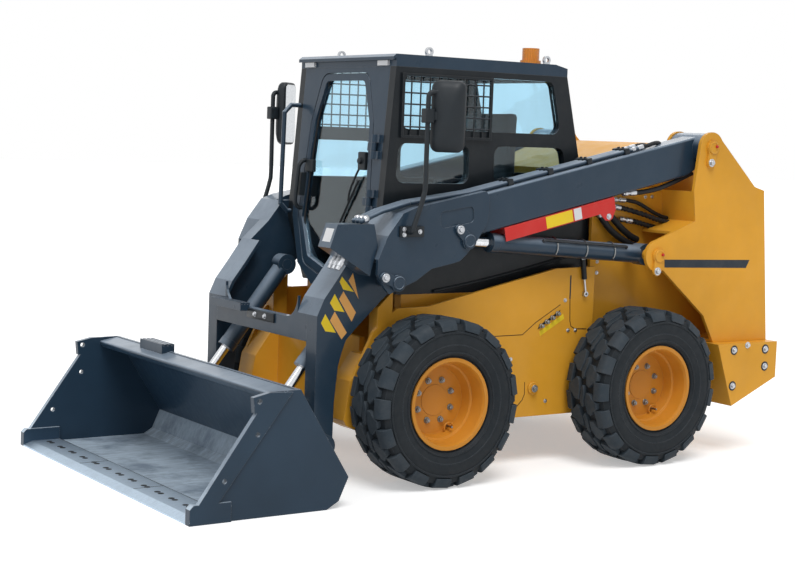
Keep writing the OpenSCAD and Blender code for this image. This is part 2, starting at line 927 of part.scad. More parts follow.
module tailgate() {
    piece(slate) {
        slab(-bay_y + gate_gap, bay_w - 2 * gate_gap) polygon([
            [tower_rear_x + gate_inset, tower_foot_z + gate_gap],
            [tower_rear_top_x + gate_inset, shoulder_z - gate_gap],
            [tower_rear_top_x + gate_inset + gate_t, shoulder_z - gate_gap],
            [tower_rear_x + gate_inset + gate_t, tower_foot_z + gate_gap],
        ]);
        for (z = gate_hinge_zs) on_rear(gate_hinge_y, z)
            hinge_inner(gate_hinge_r, gate_pin_r, 0, [-gate_hinge_r, 0], [gate_inset + over, gate_leaf_w]);
    }
}

// Loader arms: a rounded box boom, two knee plates joined along their top, and a front leg

boom_top = 67;
boom_tail = 78;
boom_edge_r = 14;
boom_end = [447, 1331];
boom_a = heading(arm_pivot, boom_end);
boom_l = norm(boom_end - arm_pivot);
knee_x = 366;
knee_z = 931;
knee_l = 643;
knee_h = 494;
knee_shares = [[0.036, 1], [0.680, 0.830], [0.790, 0.775], [0.919, 0.559], [0.998, 0.334], [1, 0.186], [0.928, 0.049],
    [0.890, 0], [0.655, 0.123], [0.518, 0.237], [0.325, 0.287], [0.261, 0.308], [0.198, 0.374], [0.098, 0.520],
    [0.016, 0.674], [0, 0.794], [0, 0.945]];
knee_top_points = 5;
knee_web_t = 18;
slot_shares = [[0.454, 0.791], [0.149, 0.852], [0.143, 0.692], [0.448, 0.626]];
slot_r = 22;
slot_t = 6;
leg_x = 700;
leg_z = bucket_pin_z;
leg_front_x = 1249;
leg_l = leg_front_x - leg_x;
leg_h = 1120;
leg_shares = [[1, 0], [1, 0.554], [0.934, 0.625], [0.80, 0.7125], [0.656, 0.8125], [0.468, 0.899], [0.317, 0.995],
    [0.10, 1], [0.036, 0.768], [0.158, 0.707], [0.264, 0.647], [0.350, 0.612], [0.605, 0.495], [0.701, 0.447],
    [0.738, 0.399], [0.774, 0.337], [0.805, 0.176], [0.807, 0]];
leg_foot_r = 56;
side_gap = 3;
knee_pts = in_box([knee_x, knee_z], [knee_l, knee_h], knee_shares);
leg_pts = in_box([leg_x, leg_z], [leg_l, leg_h], leg_shares);

// The boom's section is drawn with X down across it, and runs from the arm pivot to the knee
module boom_box() {
    difference() {
        lay(arm_pivot, boom_y, boom_a) linear_extrude(boom_l) polygon(rounded([
            [-boom_top, -boom_w / 2], [boom_h - boom_top, -boom_w / 2],
            [boom_h - boom_top, boom_w / 2], [-boom_top, boom_w / 2],
        ], boom_edge_r));
        slab(boom_y - boom_w, boom_w * 2) translate(arm_pivot) rotate(boom_a) polygon([
            [-over, -boom_tail],
            [-over, boom_top - boom_h - over],
            [boom_tail * 2, boom_top - boom_h - over],
        ]);
    }
    bar_y(arm_pivot, boom_tail, boom_y - boom_w / 2, boom_w);
}

// Space inside the knee where the lift rod's eye swings
eye_room_r = 110;

module rod_room() {
    bar_y(lift_eye, eye_room_r, knee_in_y - over, boom_w + 2 * over);
    slab(knee_in_y - over, boom_w + 2 * over) translate([lift_eye[0] - 2 * eye_room_r, knee_z])
        square([3 * eye_room_r, lift_eye[1] - knee_z]);
}

// Top and front wall of the knee between its two plates
module knee_web() {
    top = [for (i = [0 : knee_top_points - 1]) knee_pts[i]];
    under = [for (i = [knee_top_points - 1 : -1 : 0]) knee_pts[i] - [knee_web_t, knee_web_t]];
    slab(knee_in_y - over, boom_w + 2 * over) polygon(concat(top, under));
}

module arm() {
    boss_y = bay_y + plate_t + side_gap;
    difference() {
        union() {
            difference() {
                boom_box();
                rod_room();
            }
            knee_web();
            difference() {
                slab(knee_out_y, plate_t) polygon(knee_pts);
                slab(knee_out_y + plate_t - slot_t, plate_t)
                    polygon(rounded(in_box([knee_x, knee_z], [knee_l, knee_h], slot_shares), slot_r));
            }
            slab(knee_in_y - plate_t, plate_t) polygon(knee_pts);
            slab(knee_in_y - leg_t, leg_t) {
                polygon(leg_pts);
                translate(bucket_pin) circle(r = leg_foot_r);
            }
            bar_y(arm_pivot, boom_tail, boss_y, tower_y - plate_t - side_gap - boss_y);
        }
        bar_y(arm_pivot, pivot_r, bay_y, tower_w);
        for (p = [bucket_pin, tilt_top, lift_eye]) bar_y(p, pin_r, 0, tower_w);
    }
}

module left_arm() {
    piece(slate) arm();
}

module right_arm() {
    piece(slate) mirror([0, 1, 0]) arm();
}

// Box beam between the front legs: flanges sweep up both of them, and a ribbed step stands on its front

leg_in_y = knee_in_y - leg_t;
beam_x = 1205;
beam_foot_z = 690;
beam_head_z = 790;
flange_t = 14;
flange_w = 90;
sweep_r = 110;
sweep_steps = 8;
step_l = 51;
step_h = 40;
step_z = 775;
step_reach = [-440, -110];
groove_w = 9;
groove_count = 3;

module cross_member() {
    flange_y = leg_in_y - flange_w;
    front = [for (i = [1 : 4]) leg_pts[i]];
    rear = [for (i = [4 : -1 : 1]) leg_pts[i] - [flange_t, flange_t / 2]];
    fillet = [for (i = [0 : sweep_steps]) at([flange_y - sweep_r, beam_head_z + sweep_r], -quarter_turn * i / sweep_steps, sweep_r)];
    step_pitch = step_l / groove_count;
    piece(slate) {
        block([beam_x, -leg_in_y, beam_foot_z], [leg_front_x, leg_in_y, beam_head_z]);
        both_sides() {
            slab(flange_y, flange_w) polygon(concat([[leg_front_x, beam_head_z - over]], front, rear,
                [[leg_front_x - flange_t, beam_head_z - over]]));
            across(leg_front_x - flange_t, leg_front_x)
                polygon(concat(fillet, [[flange_y - sweep_r, beam_head_z - over], [flange_y + over, beam_head_z - over],
                    [flange_y + over, beam_head_z + sweep_r]]));
        }
        difference() {
            block([leg_front_x - over, step_reach[0], step_z], [leg_front_x + step_l, step_reach[1], step_z + step_h]);
            for (i = [0 : groove_count - 1]) translate([leg_front_x + i * step_pitch + groove_w / 2, 0, step_z + step_h])
                block([0, step_reach[0] - over, -groove_w], [groove_w, step_reach[1] + over, over]);
        }
    }
}

// Pins of the arms with their keepers

tilt_keeper_a = 20;
lift_keeper_a = 45;

module arm_pins() {
    knee_face_y = knee_out_y + plate_t;
    eye_in_y = tilt_y - eye_w / 2;
    pin_in_y = leg_in_y - hitch_ear_t - side_gap;
    pin_out_y = knee_in_y + hitch_ear_t + side_gap;
    piece(steel) both_sides() {
        bar_y(tilt_top, pin_r - run_gap, eye_in_y, knee_face_y - eye_in_y);
        keeper(tilt_top, tilt_keeper_a, knee_face_y);
        for (y = [knee_out_y, knee_in_y - plate_t]) bar_y(lift_eye, pin_r - run_gap, y, plate_t);
        keeper(lift_eye, lift_keeper_a, knee_face_y);
        bar_y(bucket_pin, pin_r - run_gap, pin_in_y, pin_out_y - pin_in_y);
    }
}

// Housing of the hydraulic couplers in front of the left knee

box_w = 108;
box_shares = [[0.178, 0.6], [0.3, 0.0], [1.0, 0.55], [0.88, 1.0], [0.25, 1.0]];
box_x = 935;
box_z = 1016;
box_l = 322;
box_h = 245;
box_pts = in_box([box_x, box_z], [box_l, box_h], box_shares);

module coupler_box() {
    piece(slate) slab(knee_in_y, box_w) polygon(box_pts);
}

coupler_r = 12;
coupler_l = 60;
collar_r = 16;
collar_l = 22;
coupler_shares = [0.18, 0.5, 0.82];
collar_share = 0.33;
coupler_seat_share = 0.62;

module couplers() {
    out = heading(box_pts[1], box_pts[2]) - quarter_turn;
    mouth = at(box_pts[1] + (box_pts[2] - box_pts[1]) * coupler_seat_share, out, fit_gap);
    piece(steel) for (e = coupler_shares) lay(mouth, knee_in_y + box_w * e, out) {
        cylinder(r = coupler_r, h = coupler_l);
        translate([0, 0, coupler_l * collar_share]) cylinder(r = collar_r, h = collar_l);
    }
}

// Safety bar stowed under the left boom: a channel with a skirt at its rear end

bar_h = 70;
bar_t = 5;
bar_l = 730;
bar_start = 660;

module safety_bar() {
    piece(red) translate([arm_pivot[0], boom_y, arm_pivot[1]]) rotate([0, -boom_a, 0])
        translate([bar_start, -boom_w / 2, boom_top - boom_h - bar_h - fit_gap]) difference() {
            block([0, 0, 0], [bar_l, boom_w, bar_h]);
            block([-over, bar_t, -bar_t], [bar_l + over, boom_w - bar_t, bar_h - bar_t]);
        }
}

// Mirrors: a crowned head on a bent stalk that stands on a bracket of the knee

stalk_r = 12;
head_depth = 60;
head_w = 165;
head_h = 340;
head_z = 1608;
head_x = 695;
head_out = 80;
head_a = 52;
crown_depth = 18;
crown_share = 0.72;
bracket_x = 760;
bracket_l = 138;
bracket_z = 1202;
bracket_h = 52;
bracket_t = 14;
stalk_foot_x = 850;
stalk_foot_out = 45;
stalk_knee_z = 1414;
stalk_x = 790;
stalk_out = 50;
stalk_top_z = 1890;

module mirrors() {
    face_y = knee_out_y + plate_t;
    head_y = knee_out_y + plate_t + head_out;
    foot_z = bracket_z + bracket_h / 2;
    piece(black) both_sides() {
        block([bracket_x, face_y + fit_gap, bracket_z],
            [bracket_x + bracket_l, face_y + bracket_t, bracket_z + bracket_h]);
        tube([
            [stalk_foot_x, face_y + bracket_t - over, foot_z],
            [stalk_foot_x, face_y + stalk_foot_out, foot_z],
            [stalk_x, face_y + stalk_out, stalk_knee_z],
            [stalk_x, face_y + stalk_out, stalk_top_z],
            [head_x, head_y, stalk_top_z],
        ], stalk_r);
        translate([head_x, head_y, head_z]) rotate([0, 0, head_a]) {
            block([-head_depth / 2, -head_w / 2, 0], [head_depth / 2, head_w / 2, head_h]);
            block([0, -head_w / 2 * crown_share, head_h / 2 * (1 - crown_share)],
                [head_depth / 2 + crown_depth, head_w / 2 * crown_share, head_h / 2 * (1 + crown_share)]);
        }
    }
}

// Steel tubes along the top of the left boom, over the knee and down to the coupler housing

tube_r = 11;
tube_pitch = 32;
tube_start = 440;
tube_knee_share = 0.68;
tube_bridge = [960, 1320];
tube_end_share = 0.3;
tube_bend_share = 0.99;
tube_rise_share = 1.5;

module arm_tubes() {
    rise = tube_r + side_gap;
    elbow_r = tube_r * elbow_share;
    start = at(at(arm_pivot, boom_a, tube_start), boom_a + quarter_turn, boom_top + rise);
    bend = at(at(arm_pivot, boom_a, boom_l * tube_bend_share), boom_a + quarter_turn, boom_top + rise);
    knee = knee_pts[1] + [0, rise * tube_rise_share];
    seat_end = box_pts[4] + (box_pts[3] - box_pts[4]) * tube_end_share + [0, elbow_r + fit_gap];
    piece(steel) for (i = [-1, 0, 1]) {
        y = boom_y - boom_w / 2 + box_w / 2 + i * tube_pitch;
        tube([for (p = [start, bend, knee, tube_bridge, seat_end]) [p[0], y, p[1]]], tube_r);
        translate([seat_end[0], y, seat_end[1]]) sphere(r = elbow_r);
        lay(start, y, boom_a) translate([0, 0, -tube_r]) cylinder(r = tube_r + side_gap / 2, h = tube_pitch);
    }
}

// Bucket: shell with a nosed lip and a ribbed step, cheeks, cutting edge and hitch

heel = [1309, 141];
toe = [1358, 35];
lip_x = 1572;
lip_l = 120;
lip_drop = 22;
lip_t = 34;
lip_r = 11;
cheek_t = 16;
strip_t = 12;
edge_t = 24;
edge_l = 200;
floor_rear_x = 1420;
cheek_y = bucket_w / 2 - strip_t;
shell_y = cheek_y - cheek_t;
back_share = 1.3;
toe_shares = [0.9, 0.6];
back_in = [bucket_t * back_share, 0];
toe_in = bucket_t * toe_shares;
ledge_x = 1562;
ledge_l = 70;
ledge_h = 38;
ledge_reach = [-565, -310];

module bucket_shell() {
    lip = [lip_x, bucket_h];
    nose = lip + [lip_l, -lip_drop];
    rib_pitch = ledge_l / groove_count;
    piece(slate) {
        slab(-shell_y, 2 * shell_y) {
            polygon([
                [edge_reach - edge_l, 0], [floor_rear_x, 0], toe, heel, lip,
                lip + back_in, heel + back_in, toe + toe_in, [floor_rear_x, bucket_t], [edge_reach - edge_l, bucket_t],
            ]);
            polygon(rounded([lip, nose, nose - [lip_drop, lip_t], lip - [0, lip_t]], [0, lip_r, lip_r, 0]));
        }
        difference() {
            block([ledge_x, ledge_reach[0], bucket_h - lip_t], [ledge_x + ledge_l, ledge_reach[1], bucket_h + ledge_h]);
            for (i = [0 : groove_count - 1]) translate([ledge_x + i * rib_pitch + groove_w, 0, bucket_h + ledge_h])
                block([0, ledge_reach[0] - over, -groove_w], [groove_w, ledge_reach[1] + over, over]);
        }
    }
}

ear_hole = [1784, 516];
ear_hole_r = 12;
cutter_holes = [[1789, 372], [1945, 180]];
cutter_hole_r = 11;
cutter_h = 88;
cutter_w = 40;
cutter_nose = 18;
strip_top = [1617, 548];
strip_front = [1733, 552];
strip_foot_x = 1970;
cheek_foot_x = 2065;
ear_tip = [1815, 534];
ear_low = [1808, 465];

function cheek_front_at(z) = strip_front[0]
    + (cheek_foot_x - strip_front[0]) * (strip_front[1] - z) / (strip_front[1] - cutter_h);

module ear_outline() {
    polygon([strip_front, ear_tip, ear_low, [cheek_front_at(ear_low[1]), ear_low[1]]]);
}

module cheek() {
    cutter_y = bucket_w / 2 - cutter_w;
    difference() {
        union() {
            slab(shell_y, cheek_t) {
                polygon([[lip_x, bucket_h], strip_front, [cheek_foot_x, cutter_h], [cheek_foot_x, 0], [floor_rear_x, 0],
                    toe, heel]);
                ear_outline();
            }
            slab(cheek_y - over, strip_t + over) {
                polygon([strip_top, strip_front, [cheek_foot_x, cutter_h], [strip_foot_x, cutter_h]]);
                ear_outline();
            }
            slab(cutter_y, cutter_w) polygon([[edge_reach - edge_l, 0], [edge_reach, 0],
                [edge_reach, cutter_h - cutter_nose], [edge_reach - cutter_nose, cutter_h],
                [edge_reach - edge_l, cutter_h]]);
        }
        bar_y(ear_hole, ear_hole_r, shell_y - over, bucket_w);
        for (p = cutter_holes) bar_y(p, cutter_hole_r, shell_y - over, bucket_w);
    }
}

module bucket_cheeks() {
    piece(slate) both_sides() cheek();
}

edge_nose_share = 0.3;

module cutting_edge() {
    edge_y = bucket_w / 2 - cutter_w;
    piece(worn) slab(-edge_y, 2 * edge_y) polygon([
        [edge_reach - edge_l, 0], [edge_reach, 0], [edge_reach, edge_t * edge_nose_share],
        [edge_reach - edge_t * 2, edge_t], [edge_reach - edge_l, edge_t],
    ]);
}

hitch_ear_t = 22;
hitch_t = 14;
hitch_foot_share = 0.05;
hitch_mid_share = 0.45;
hitch_head_share = 0.78;
tilt_ear_r = 45;

function back_point(s, off) = heel + ([lip_x, bucket_h] - heel) * s
    + off * unit([heel[1] - bucket_h, lip_x - heel[0]]);

module hitch_ear(p, r, s0, s1) {
    polygon([
        at(p, heading(p, back_point(s0, 0)) - quarter_turn, r),
        back_point(s0, hitch_t),
        back_point(s1, hitch_t),
        at(p, heading(p, back_point(s1, 0)) + quarter_turn, r),
    ]);
    translate(p) circle(r = r);
}

module hitch() {
    hitch_y = knee_in_y + side_gap + hitch_ear_t;
    piece(slate) difference() {
        union() {
            slab(-hitch_y, 2 * hitch_y) polygon([
                back_point(hitch_foot_share, fit_gap), back_point(hitch_head_share, fit_gap),
                back_point(hitch_head_share, hitch_t), back_point(hitch_foot_share, hitch_t),
            ]);
            both_sides() {
                for (y = [knee_in_y + side_gap, leg_in_y - hitch_ear_t - side_gap])
                    slab(y, hitch_ear_t) hitch_ear(bucket_pin, leg_foot_r, hitch_foot_share, hitch_mid_share);
                for (y = [tilt_y - tilt_barrel_r - hitch_t, tilt_y + tilt_barrel_r])
                    slab(y, hitch_t) hitch_ear(tilt_eye, tilt_ear_r, hitch_mid_share, hitch_head_share);
            }
        }
        both_sides() bar_y(bucket_pin, pin_r, 0, tower_w);
    }
}

// Cylinders: barrels hinged at their lower or upper pin, rods sliding in them

lift_a = heading(lift_base, lift_eye);
lift_len = norm(lift_eye - lift_base);
tilt_a = heading(tilt_top, tilt_eye);
tilt_len = norm(tilt_eye - tilt_top);
lift_gland_back = 185;
lift_gland = lift_len - lift_gland_back;
tilt_gland = 545;
lift_rod_l = 920;
tilt_rod_l = 541;
tilt_back_travel = 92;
rod_eye_share = 1.6;
barrel_eye_share = 1.2;
gland_l = 42;
gland_step = 2;
barrel_root_share = 0.7;

module cylinder_barrel(p, y, a, r, bore, gland, blind, pin) {
    barrel_eye_r = r * barrel_eye_share;
    start = barrel_eye_r * barrel_root_share;
    difference() {
        union() {
            lay(p, y, a) translate([0, 0, start]) cylinder(r = r, h = gland - start);
            lay(p, y, a) translate([0, 0, gland - gland_l]) cylinder(r = r + gland_step, h = gland_l);
            bar_y(p, barrel_eye_r, y - eye_w / 2, eye_w);
        }
        lay(p, y, a) translate([0, 0, blind]) cylinder(r = bore + run_gap, h = gland);
        bar_y(p, pin, y - eye_w, eye_w * 2);
    }
}

module cylinder_rod(p, y, a, r, l) {
    lay(p, y, a + half_turn) cylinder(r = r, h = l);
    bar_y(p, r * rod_eye_share, y - eye_w / 2, eye_w);
}

module lift_barrels() {
    piece(black) both_sides() cylinder_barrel(lift_base, boom_y, lift_a, lift_barrel_r, lift_rod_r, lift_gland,
        lift_len - lift_rod_l - over, pivot_r);
}

module lift_rods() {
    piece(steel) both_sides() cylinder_rod(lift_eye, boom_y, lift_a, lift_rod_r, lift_rod_l);
}

module tilt_barrels() {
    piece(slate) both_sides() cylinder_barrel(tilt_top, tilt_y, tilt_a, tilt_barrel_r, tilt_rod_r, tilt_gland,
        tilt_len - tilt_rod_l - tilt_back_travel - over, pin_r);
}

module tilt_rods() {
    piece(steel) both_sides() cylinder_rod(tilt_eye, tilt_y, tilt_a, tilt_rod_r, tilt_rod_l);
}

// Wheels: a lugged tyre on a dished rim, drawn with the axle along Z and the outer side up

rim_r = rim_d / 2;
rim_t = 10;
bead_h = 18;
tyre_r = tyre_d / 2;
seat_r = rim_r - bead_h;
lug_h = 20;
lug_w = 76;
lug_top_r = sqrt(tyre_r * tyre_r - lug_w * lug_w / 4);
wall_r = rim_r + rim_t;
wall_shares = [[0, 0.857], [0.5, 1], [0.74, 1]];
crown_axial_share = 0.95;
lug_shares = [[0.86, 0.2], [1, 0.2], [0.985, 0.93], [0.86, 0.93]];
dish_shares = [[1, 1], [0.968, 0.9], [0.955, 0.75], [0.915, 0.36], [0.87, 0.32]];
dish_root_share = 0.8;

module wheel_place(sx, sy) {
    translate([centre_x + sx * axle_x, sy * wheel_y, axle_z]) rotate([sy > 0 ? -90 : 90, 0, 0]) children();
}

// One side of the tyre's section from bead to crown, in radius and half width
function tyre_side(s) = [
    for (p = wall_shares) [wall_r + (tyre_r - wall_r) * p[0], s * p[1] * tyre_w / 2],
    [tyre_r - lug_h, s * crown_axial_share * tyre_w / 2],
];
function flipped(pts) = [for (i = [len(pts) - 1 : -1 : 0]) pts[i]];

module tyre() {
    bead = rim_w / 2 - rim_t - fit_gap;
    lug_low_r = wall_r - rim_t;
    pitch_a = full_turn / lug_count;
    color(rubber) {
        rotate_extrude($fn = 40) polygon(concat([[seat_r, -bead], [wall_r, -bead]], tyre_side(-1), flipped(tyre_side(1)),
            [[wall_r, bead], [seat_r, bead]]));
        for (i = [0 : lug_count - 1], s = [0, 1]) rotate([0, 0, (i + s / 2) * pitch_a]) mirror([0, 0, s])
            translate([0, lug_w / 2, 0]) rotate([90, 0, 0]) linear_extrude(lug_w)
                polygon([for (p = lug_shares) [lug_low_r + (lug_top_r - lug_low_r) * p[0], p[1] * tyre_w / 2]]);
    }
}

module rim() {
    drop_r = seat_r - fit_gap;
    face = rim_w / 2;
    disc_z = -disc_back;
    color(ochre) rotate_extrude($fn = 96) polygon(concat([
        [drop_r - rim_t, disc_z], [drop_r - rim_t, -face], [rim_r, -face], [rim_r, -face + rim_t], [drop_r, -face + rim_t],
        [drop_r, face - rim_t], [rim_r, face - rim_t], [rim_r, face],
    ], [for (p = dish_shares) [drop_r * p[0], face * p[1]]], [
        [drop_r * dish_root_share, disc_z + disc_t], [spindle_r + run_gap, disc_z + disc_t], [spindle_r + run_gap, disc_z],
    ]));
}

module front_left_tyre() {
    wheel_place(1, 1) tyre();
}

module front_right_tyre() {
    wheel_place(1, -1) tyre();
}

module rear_left_tyre() {
    wheel_place(-1, 1) tyre();
}

module rear_right_tyre() {
    wheel_place(-1, -1) tyre();
}

module front_left_rim() {
    wheel_place(1, 1) rim();
}

module front_right_rim() {
    wheel_place(1, -1) rim();
}

module rear_left_rim() {
    wheel_place(-1, 1) rim();
}

module rear_right_rim() {
    wheel_place(-1, -1) rim();
}

main_frame();
axle_stubs();
left_tower();
right_tower();
tower_pins();
rear_weights();
tail_beam();
engine_hood();
engine_block();
cab_base();
left_cab_side();
right_cab_side();
cab_rear();
cab_front();
cab_roof();
side_panes();
rear_pane();
window_guards();
seat();
control_levers();
roof_lamps();
beacon();
lifting_eyes();
grab_handle();
door_frame();
door_pane();
door_latch();
tailgate();
left_arm();
right_arm();
cross_member();
arm_pins();
coupler_box();
couplers();
safety_bar();
mirrors();
arm_tubes();
bucket_shell();
bucket_cheeks();
cutting_edge();
hitch();
lift_barrels();
lift_rods();
tilt_barrels();
tilt_rods();
front_left_tyre();
front_right_tyre();
rear_left_tyre();
rear_right_tyre();
front_left_rim();
front_right_rim();
rear_left_rim();
rear_right_rim();
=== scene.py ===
import math

import bmesh
import bpy
from mathutils import Matrix, Vector


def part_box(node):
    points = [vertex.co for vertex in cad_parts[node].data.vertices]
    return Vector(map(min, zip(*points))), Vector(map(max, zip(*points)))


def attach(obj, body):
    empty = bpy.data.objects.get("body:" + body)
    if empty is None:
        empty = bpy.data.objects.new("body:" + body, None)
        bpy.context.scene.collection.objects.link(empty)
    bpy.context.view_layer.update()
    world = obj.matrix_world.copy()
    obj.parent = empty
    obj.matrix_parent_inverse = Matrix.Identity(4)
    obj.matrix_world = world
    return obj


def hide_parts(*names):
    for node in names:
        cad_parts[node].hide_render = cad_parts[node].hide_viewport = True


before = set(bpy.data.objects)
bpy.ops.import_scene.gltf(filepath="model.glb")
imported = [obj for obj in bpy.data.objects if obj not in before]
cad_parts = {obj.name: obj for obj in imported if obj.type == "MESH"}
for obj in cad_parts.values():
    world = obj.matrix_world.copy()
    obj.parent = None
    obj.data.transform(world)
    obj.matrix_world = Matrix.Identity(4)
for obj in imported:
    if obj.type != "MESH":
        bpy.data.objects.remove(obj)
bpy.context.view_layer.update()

bl_info = {
    "name": "Skid steer loader",
    "version": (1, 0, 0),
    "blender": (4, 5, 0),
    "location": "View3D > Sidebar > Loader",
    "description": "Dresses the packed loader with tread, hoses, fasteners, seat and finishes",
    "category": "Object",
}

PHOTO_WIDTH_PX = 795
FOCAL_PX = 1613.3
SENSOR_MM = 36.0
# The photograph's camera, in metres and degrees
CAMERA_PLACE = (4.9025, 6.997, 1.682)
CAMERA_YAW = -124.128
CAMERA_PITCH = 5.34
CAMERA_ROLL = 2.083
# Soft suns: name, where each shines from, its angle in degrees and its strength
SUNS = (
    ("key", (2.2, 4.6, 8.6), 30.0, 1.75),
    ("front", (7.0, 1.0, 4.5), 40.0, 0.45),
    ("rear", (-5.0, -4.0, 6.0), 40.0, 0.60),
)
FLOOR_HALF = 60.0
FLOOR_GREY = 0.86
FLOOR_GLOW = 0.40
SKY_LIGHT = 0.34
SKY_SEEN = 1.0
WHEELS = ("front_left", "front_right", "rear_left", "rear_right")


def middle(node):
    """Centre of a node's box."""
    low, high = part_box(node)
    return (Vector(low) + Vector(high)) / 2


WHEEL_CENTRES = {name: middle(name + "_tyre") for name in WHEELS}
STATION = (WHEEL_CENTRES["front_left"].x + WHEEL_CENTRES["rear_left"].x) / 2


def at(x, y, z):
    """A point whose X is counted from the middle of the wheelbase."""
    return Vector((x + STATION, y, z))


def length_property(label, words, default):
    """A property for a length."""
    return bpy.props.FloatProperty(name=label, description=words, default=default, subtype="DISTANCE",
                                   unit="LENGTH")


def colour_property(label, words, default):
    """A property for a linear colour."""
    return bpy.props.FloatVectorProperty(name=label, description=words, default=default, subtype="COLOR")


class LoaderSizes(bpy.types.PropertyGroup):
    """Sizes of the pieces that dress the loader"""
    tyre_radius: length_property("Tyre radius", "Radius over the tread blocks", 0.4115)
    tyre_width: length_property("Tyre width", "Width over the side walls", 0.306)
    tread_depth: length_property("Tread depth", "Height of the tread blocks", 0.021)
    tread_pitches: bpy.props.IntProperty(
        name="Tread pitches", description="Tread blocks round each shoulder", default=17, min=8)
    nut_circle: length_property("Nut circle", "Radius of the circle of wheel nuts", 0.104)
    hose_diameter: length_property("Hose diameter", "Outer diameter of a hydraulic hose", 0.026)
    mark_thickness: length_property("Marking thickness", "Thickness of a painted marking", 0.0008)


class LoaderColours(bpy.types.PropertyGroup):
    """Colours of the paints, rubber, glass and marks"""
    ochre: colour_property("Ochre", "Paint of the chassis", (0.73, 0.350, 0.030))
    # The rims' paint is a warmer ochre than the chassis', and darker as painted shade of the dished wheels
    rim: colour_property("Rim", "Paint of the rims", (0.60, 0.245, 0.025))
    slate: colour_property("Slate", "Paint of the arms and the bucket", (0.020, 0.042, 0.070))
    black: colour_property("Black", "Paint of the cab", (0.010, 0.014, 0.018))
    rubber: colour_property("Rubber", "Tyres and hoses", (0.010, 0.014, 0.018))
    glass: colour_property("Glass", "Tint of the panes", (0.66, 0.87, 0.97))
    # Scoured steel, its blue tint a painted reflection of the sky
    worn: colour_property("Worn steel", "Scoured steel of the bucket", (0.62, 0.75, 0.88))
    yellow: colour_property("Yellow", "Marking on the leg", (0.86, 0.62, 0.03))
    orange: colour_property("Orange", "Marking on the leg", (0.78, 0.40, 0.12))
    red: colour_property("Red", "Safety bar and grease caps", (0.60, 0.03, 0.025))


def sizes():
    """The scene's sizes of the loader."""
    return bpy.context.scene.loader_sizes


def colours():
    """The scene's colours of the loader."""
    return bpy.context.scene.loader_colours


# Finishes

def blank_material(name):
    """A material with only its output and a Principled shader, apart from the frame's own of like name."""
    material = bpy.data.materials.new(name + "_finish")
    material.use_nodes = True
    tree = material.node_tree
    return material, tree.nodes, tree.links, tree.nodes["Principled BSDF"]


def noise(nodes, links, scale, detail=4.0, rough=0.55, stretch=None):
    """Noise on object coordinates, stretched where asked."""
    coord = nodes.new("ShaderNodeTexCoord")
    node = nodes.new("ShaderNodeTexNoise")
    node.inputs["Scale"].default_value = scale
    node.inputs["Detail"].default_value = detail
    node.inputs["Roughness"].default_value = rough
    source = coord.outputs["Object"]
    if stretch:
        mapping = nodes.new("ShaderNodeMapping")
        mapping.inputs["Scale"].default_value = stretch
        links.new(source, mapping.inputs["Vector"])
        source = mapping.outputs["Vector"]
    links.new(source, node.inputs["Vector"])
    return node.outputs["Fac"]


def ramp(nodes, links, source, low, high, low_value=0.0, high_value=1.0):
    """Source from low to high mapped to the two values, held outside them."""
    node = nodes.new("ShaderNodeMapRange")
    node.inputs["From Min"].default_value = low
    node.inputs["From Max"].default_value = high
    node.inputs["To Min"].default_value = low_value
    node.inputs["To Max"].default_value = high_value
    links.new(source, node.inputs["Value"])
    return node.outputs["Result"]


def mixed(nodes, links, factor, first, second):
    """Colour mixed from first to second, each a colour or a socket."""
    node = nodes.new("ShaderNodeMix")
    node.data_type = "RGBA"
    links.new(factor, node.inputs["Factor"])
    for socket, value in ((node.inputs["A"], first), (node.inputs["B"], second)):
        if isinstance(value, bpy.types.NodeSocket):
            links.new(value, socket)
        else:
            socket.default_value = (*value[:3], 1.0)
    return node.outputs["Result"]


def times(nodes, links, first, second):
    """Two values multiplied."""
    node = nodes.new("ShaderNodeMath")
    node.operation = "MULTIPLY"
    links.new(first, node.inputs[0])
    links.new(second, node.inputs[1])
    return node.outputs[0]


def bump(nodes, links, height, strength, distance, normal=None):
    """A normal raised by a height, over another normal where one is given."""
    node = nodes.new("ShaderNodeBump")
    node.inputs["Strength"].default_value = strength
    node.inputs["Distance"].default_value = distance
    links.new(height, node.inputs["Height"])
    if normal:
        links.new(normal, node.inputs["Normal"])
    return node.outputs["Normal"]


def edge_wear_and_highlight(nodes, links, radius):
    """Rounded normal of a sharp edge, and how far it turns from the flat face."""
    soft = nodes.new("ShaderNodeBevel")
    soft.samples = 4
    soft.inputs["Radius"].default_value = radius
    flat = nodes.new("ShaderNodeNewGeometry")
    dot = nodes.new("ShaderNodeVectorMath")
    dot.operation = "DOT_PRODUCT"
    links.new(soft.outputs["Normal"], dot.inputs[0])
    links.new(flat.outputs["Normal"], dot.inputs[1])
    return soft.outputs["Normal"], ramp(nodes, links, dot.outputs["Value"], 0.99, 0.80)


COAT_IOR = 1.22


def clear_coat(shader, weight, roughness=0.13):
    """A thin coat that shows little face on and much at a grazing look."""
    shader.inputs["Specular IOR Level"].default_value = 0.16
    shader.inputs["Coat Weight"].default_value = weight
    shader.inputs["Coat Roughness"].default_value = roughness
    shader.inputs["Coat IOR"].default_value = COAT_IOR


def dust_and_sky_sheen(nodes, links, below, most):
    """Pale blue-grey on faces that look up, over what is below: partly fine dust, partly a painted sheen of
    the sky.
    """
    flat = nodes.new("ShaderNodeNewGeometry")
    face = nodes.new("ShaderNodeSeparateXYZ")
    links.new(flat.outputs["Normal"], face.inputs["Vector"])
    lying = ramp(nodes, links, face.outputs["Z"], 0.10, 0.62, 0.0, most)
    broken = ramp(nodes, links, noise(nodes, links, 4.0, 7.0, 0.65), 0.25, 0.60, 0.55, 1.0)
    # Dust and painted sky sheen: faces that look up are mixed towards a pale blue-grey
    return mixed(nodes, links, times(nodes, links, lying, broken), below, (0.40, 0.49, 0.60))


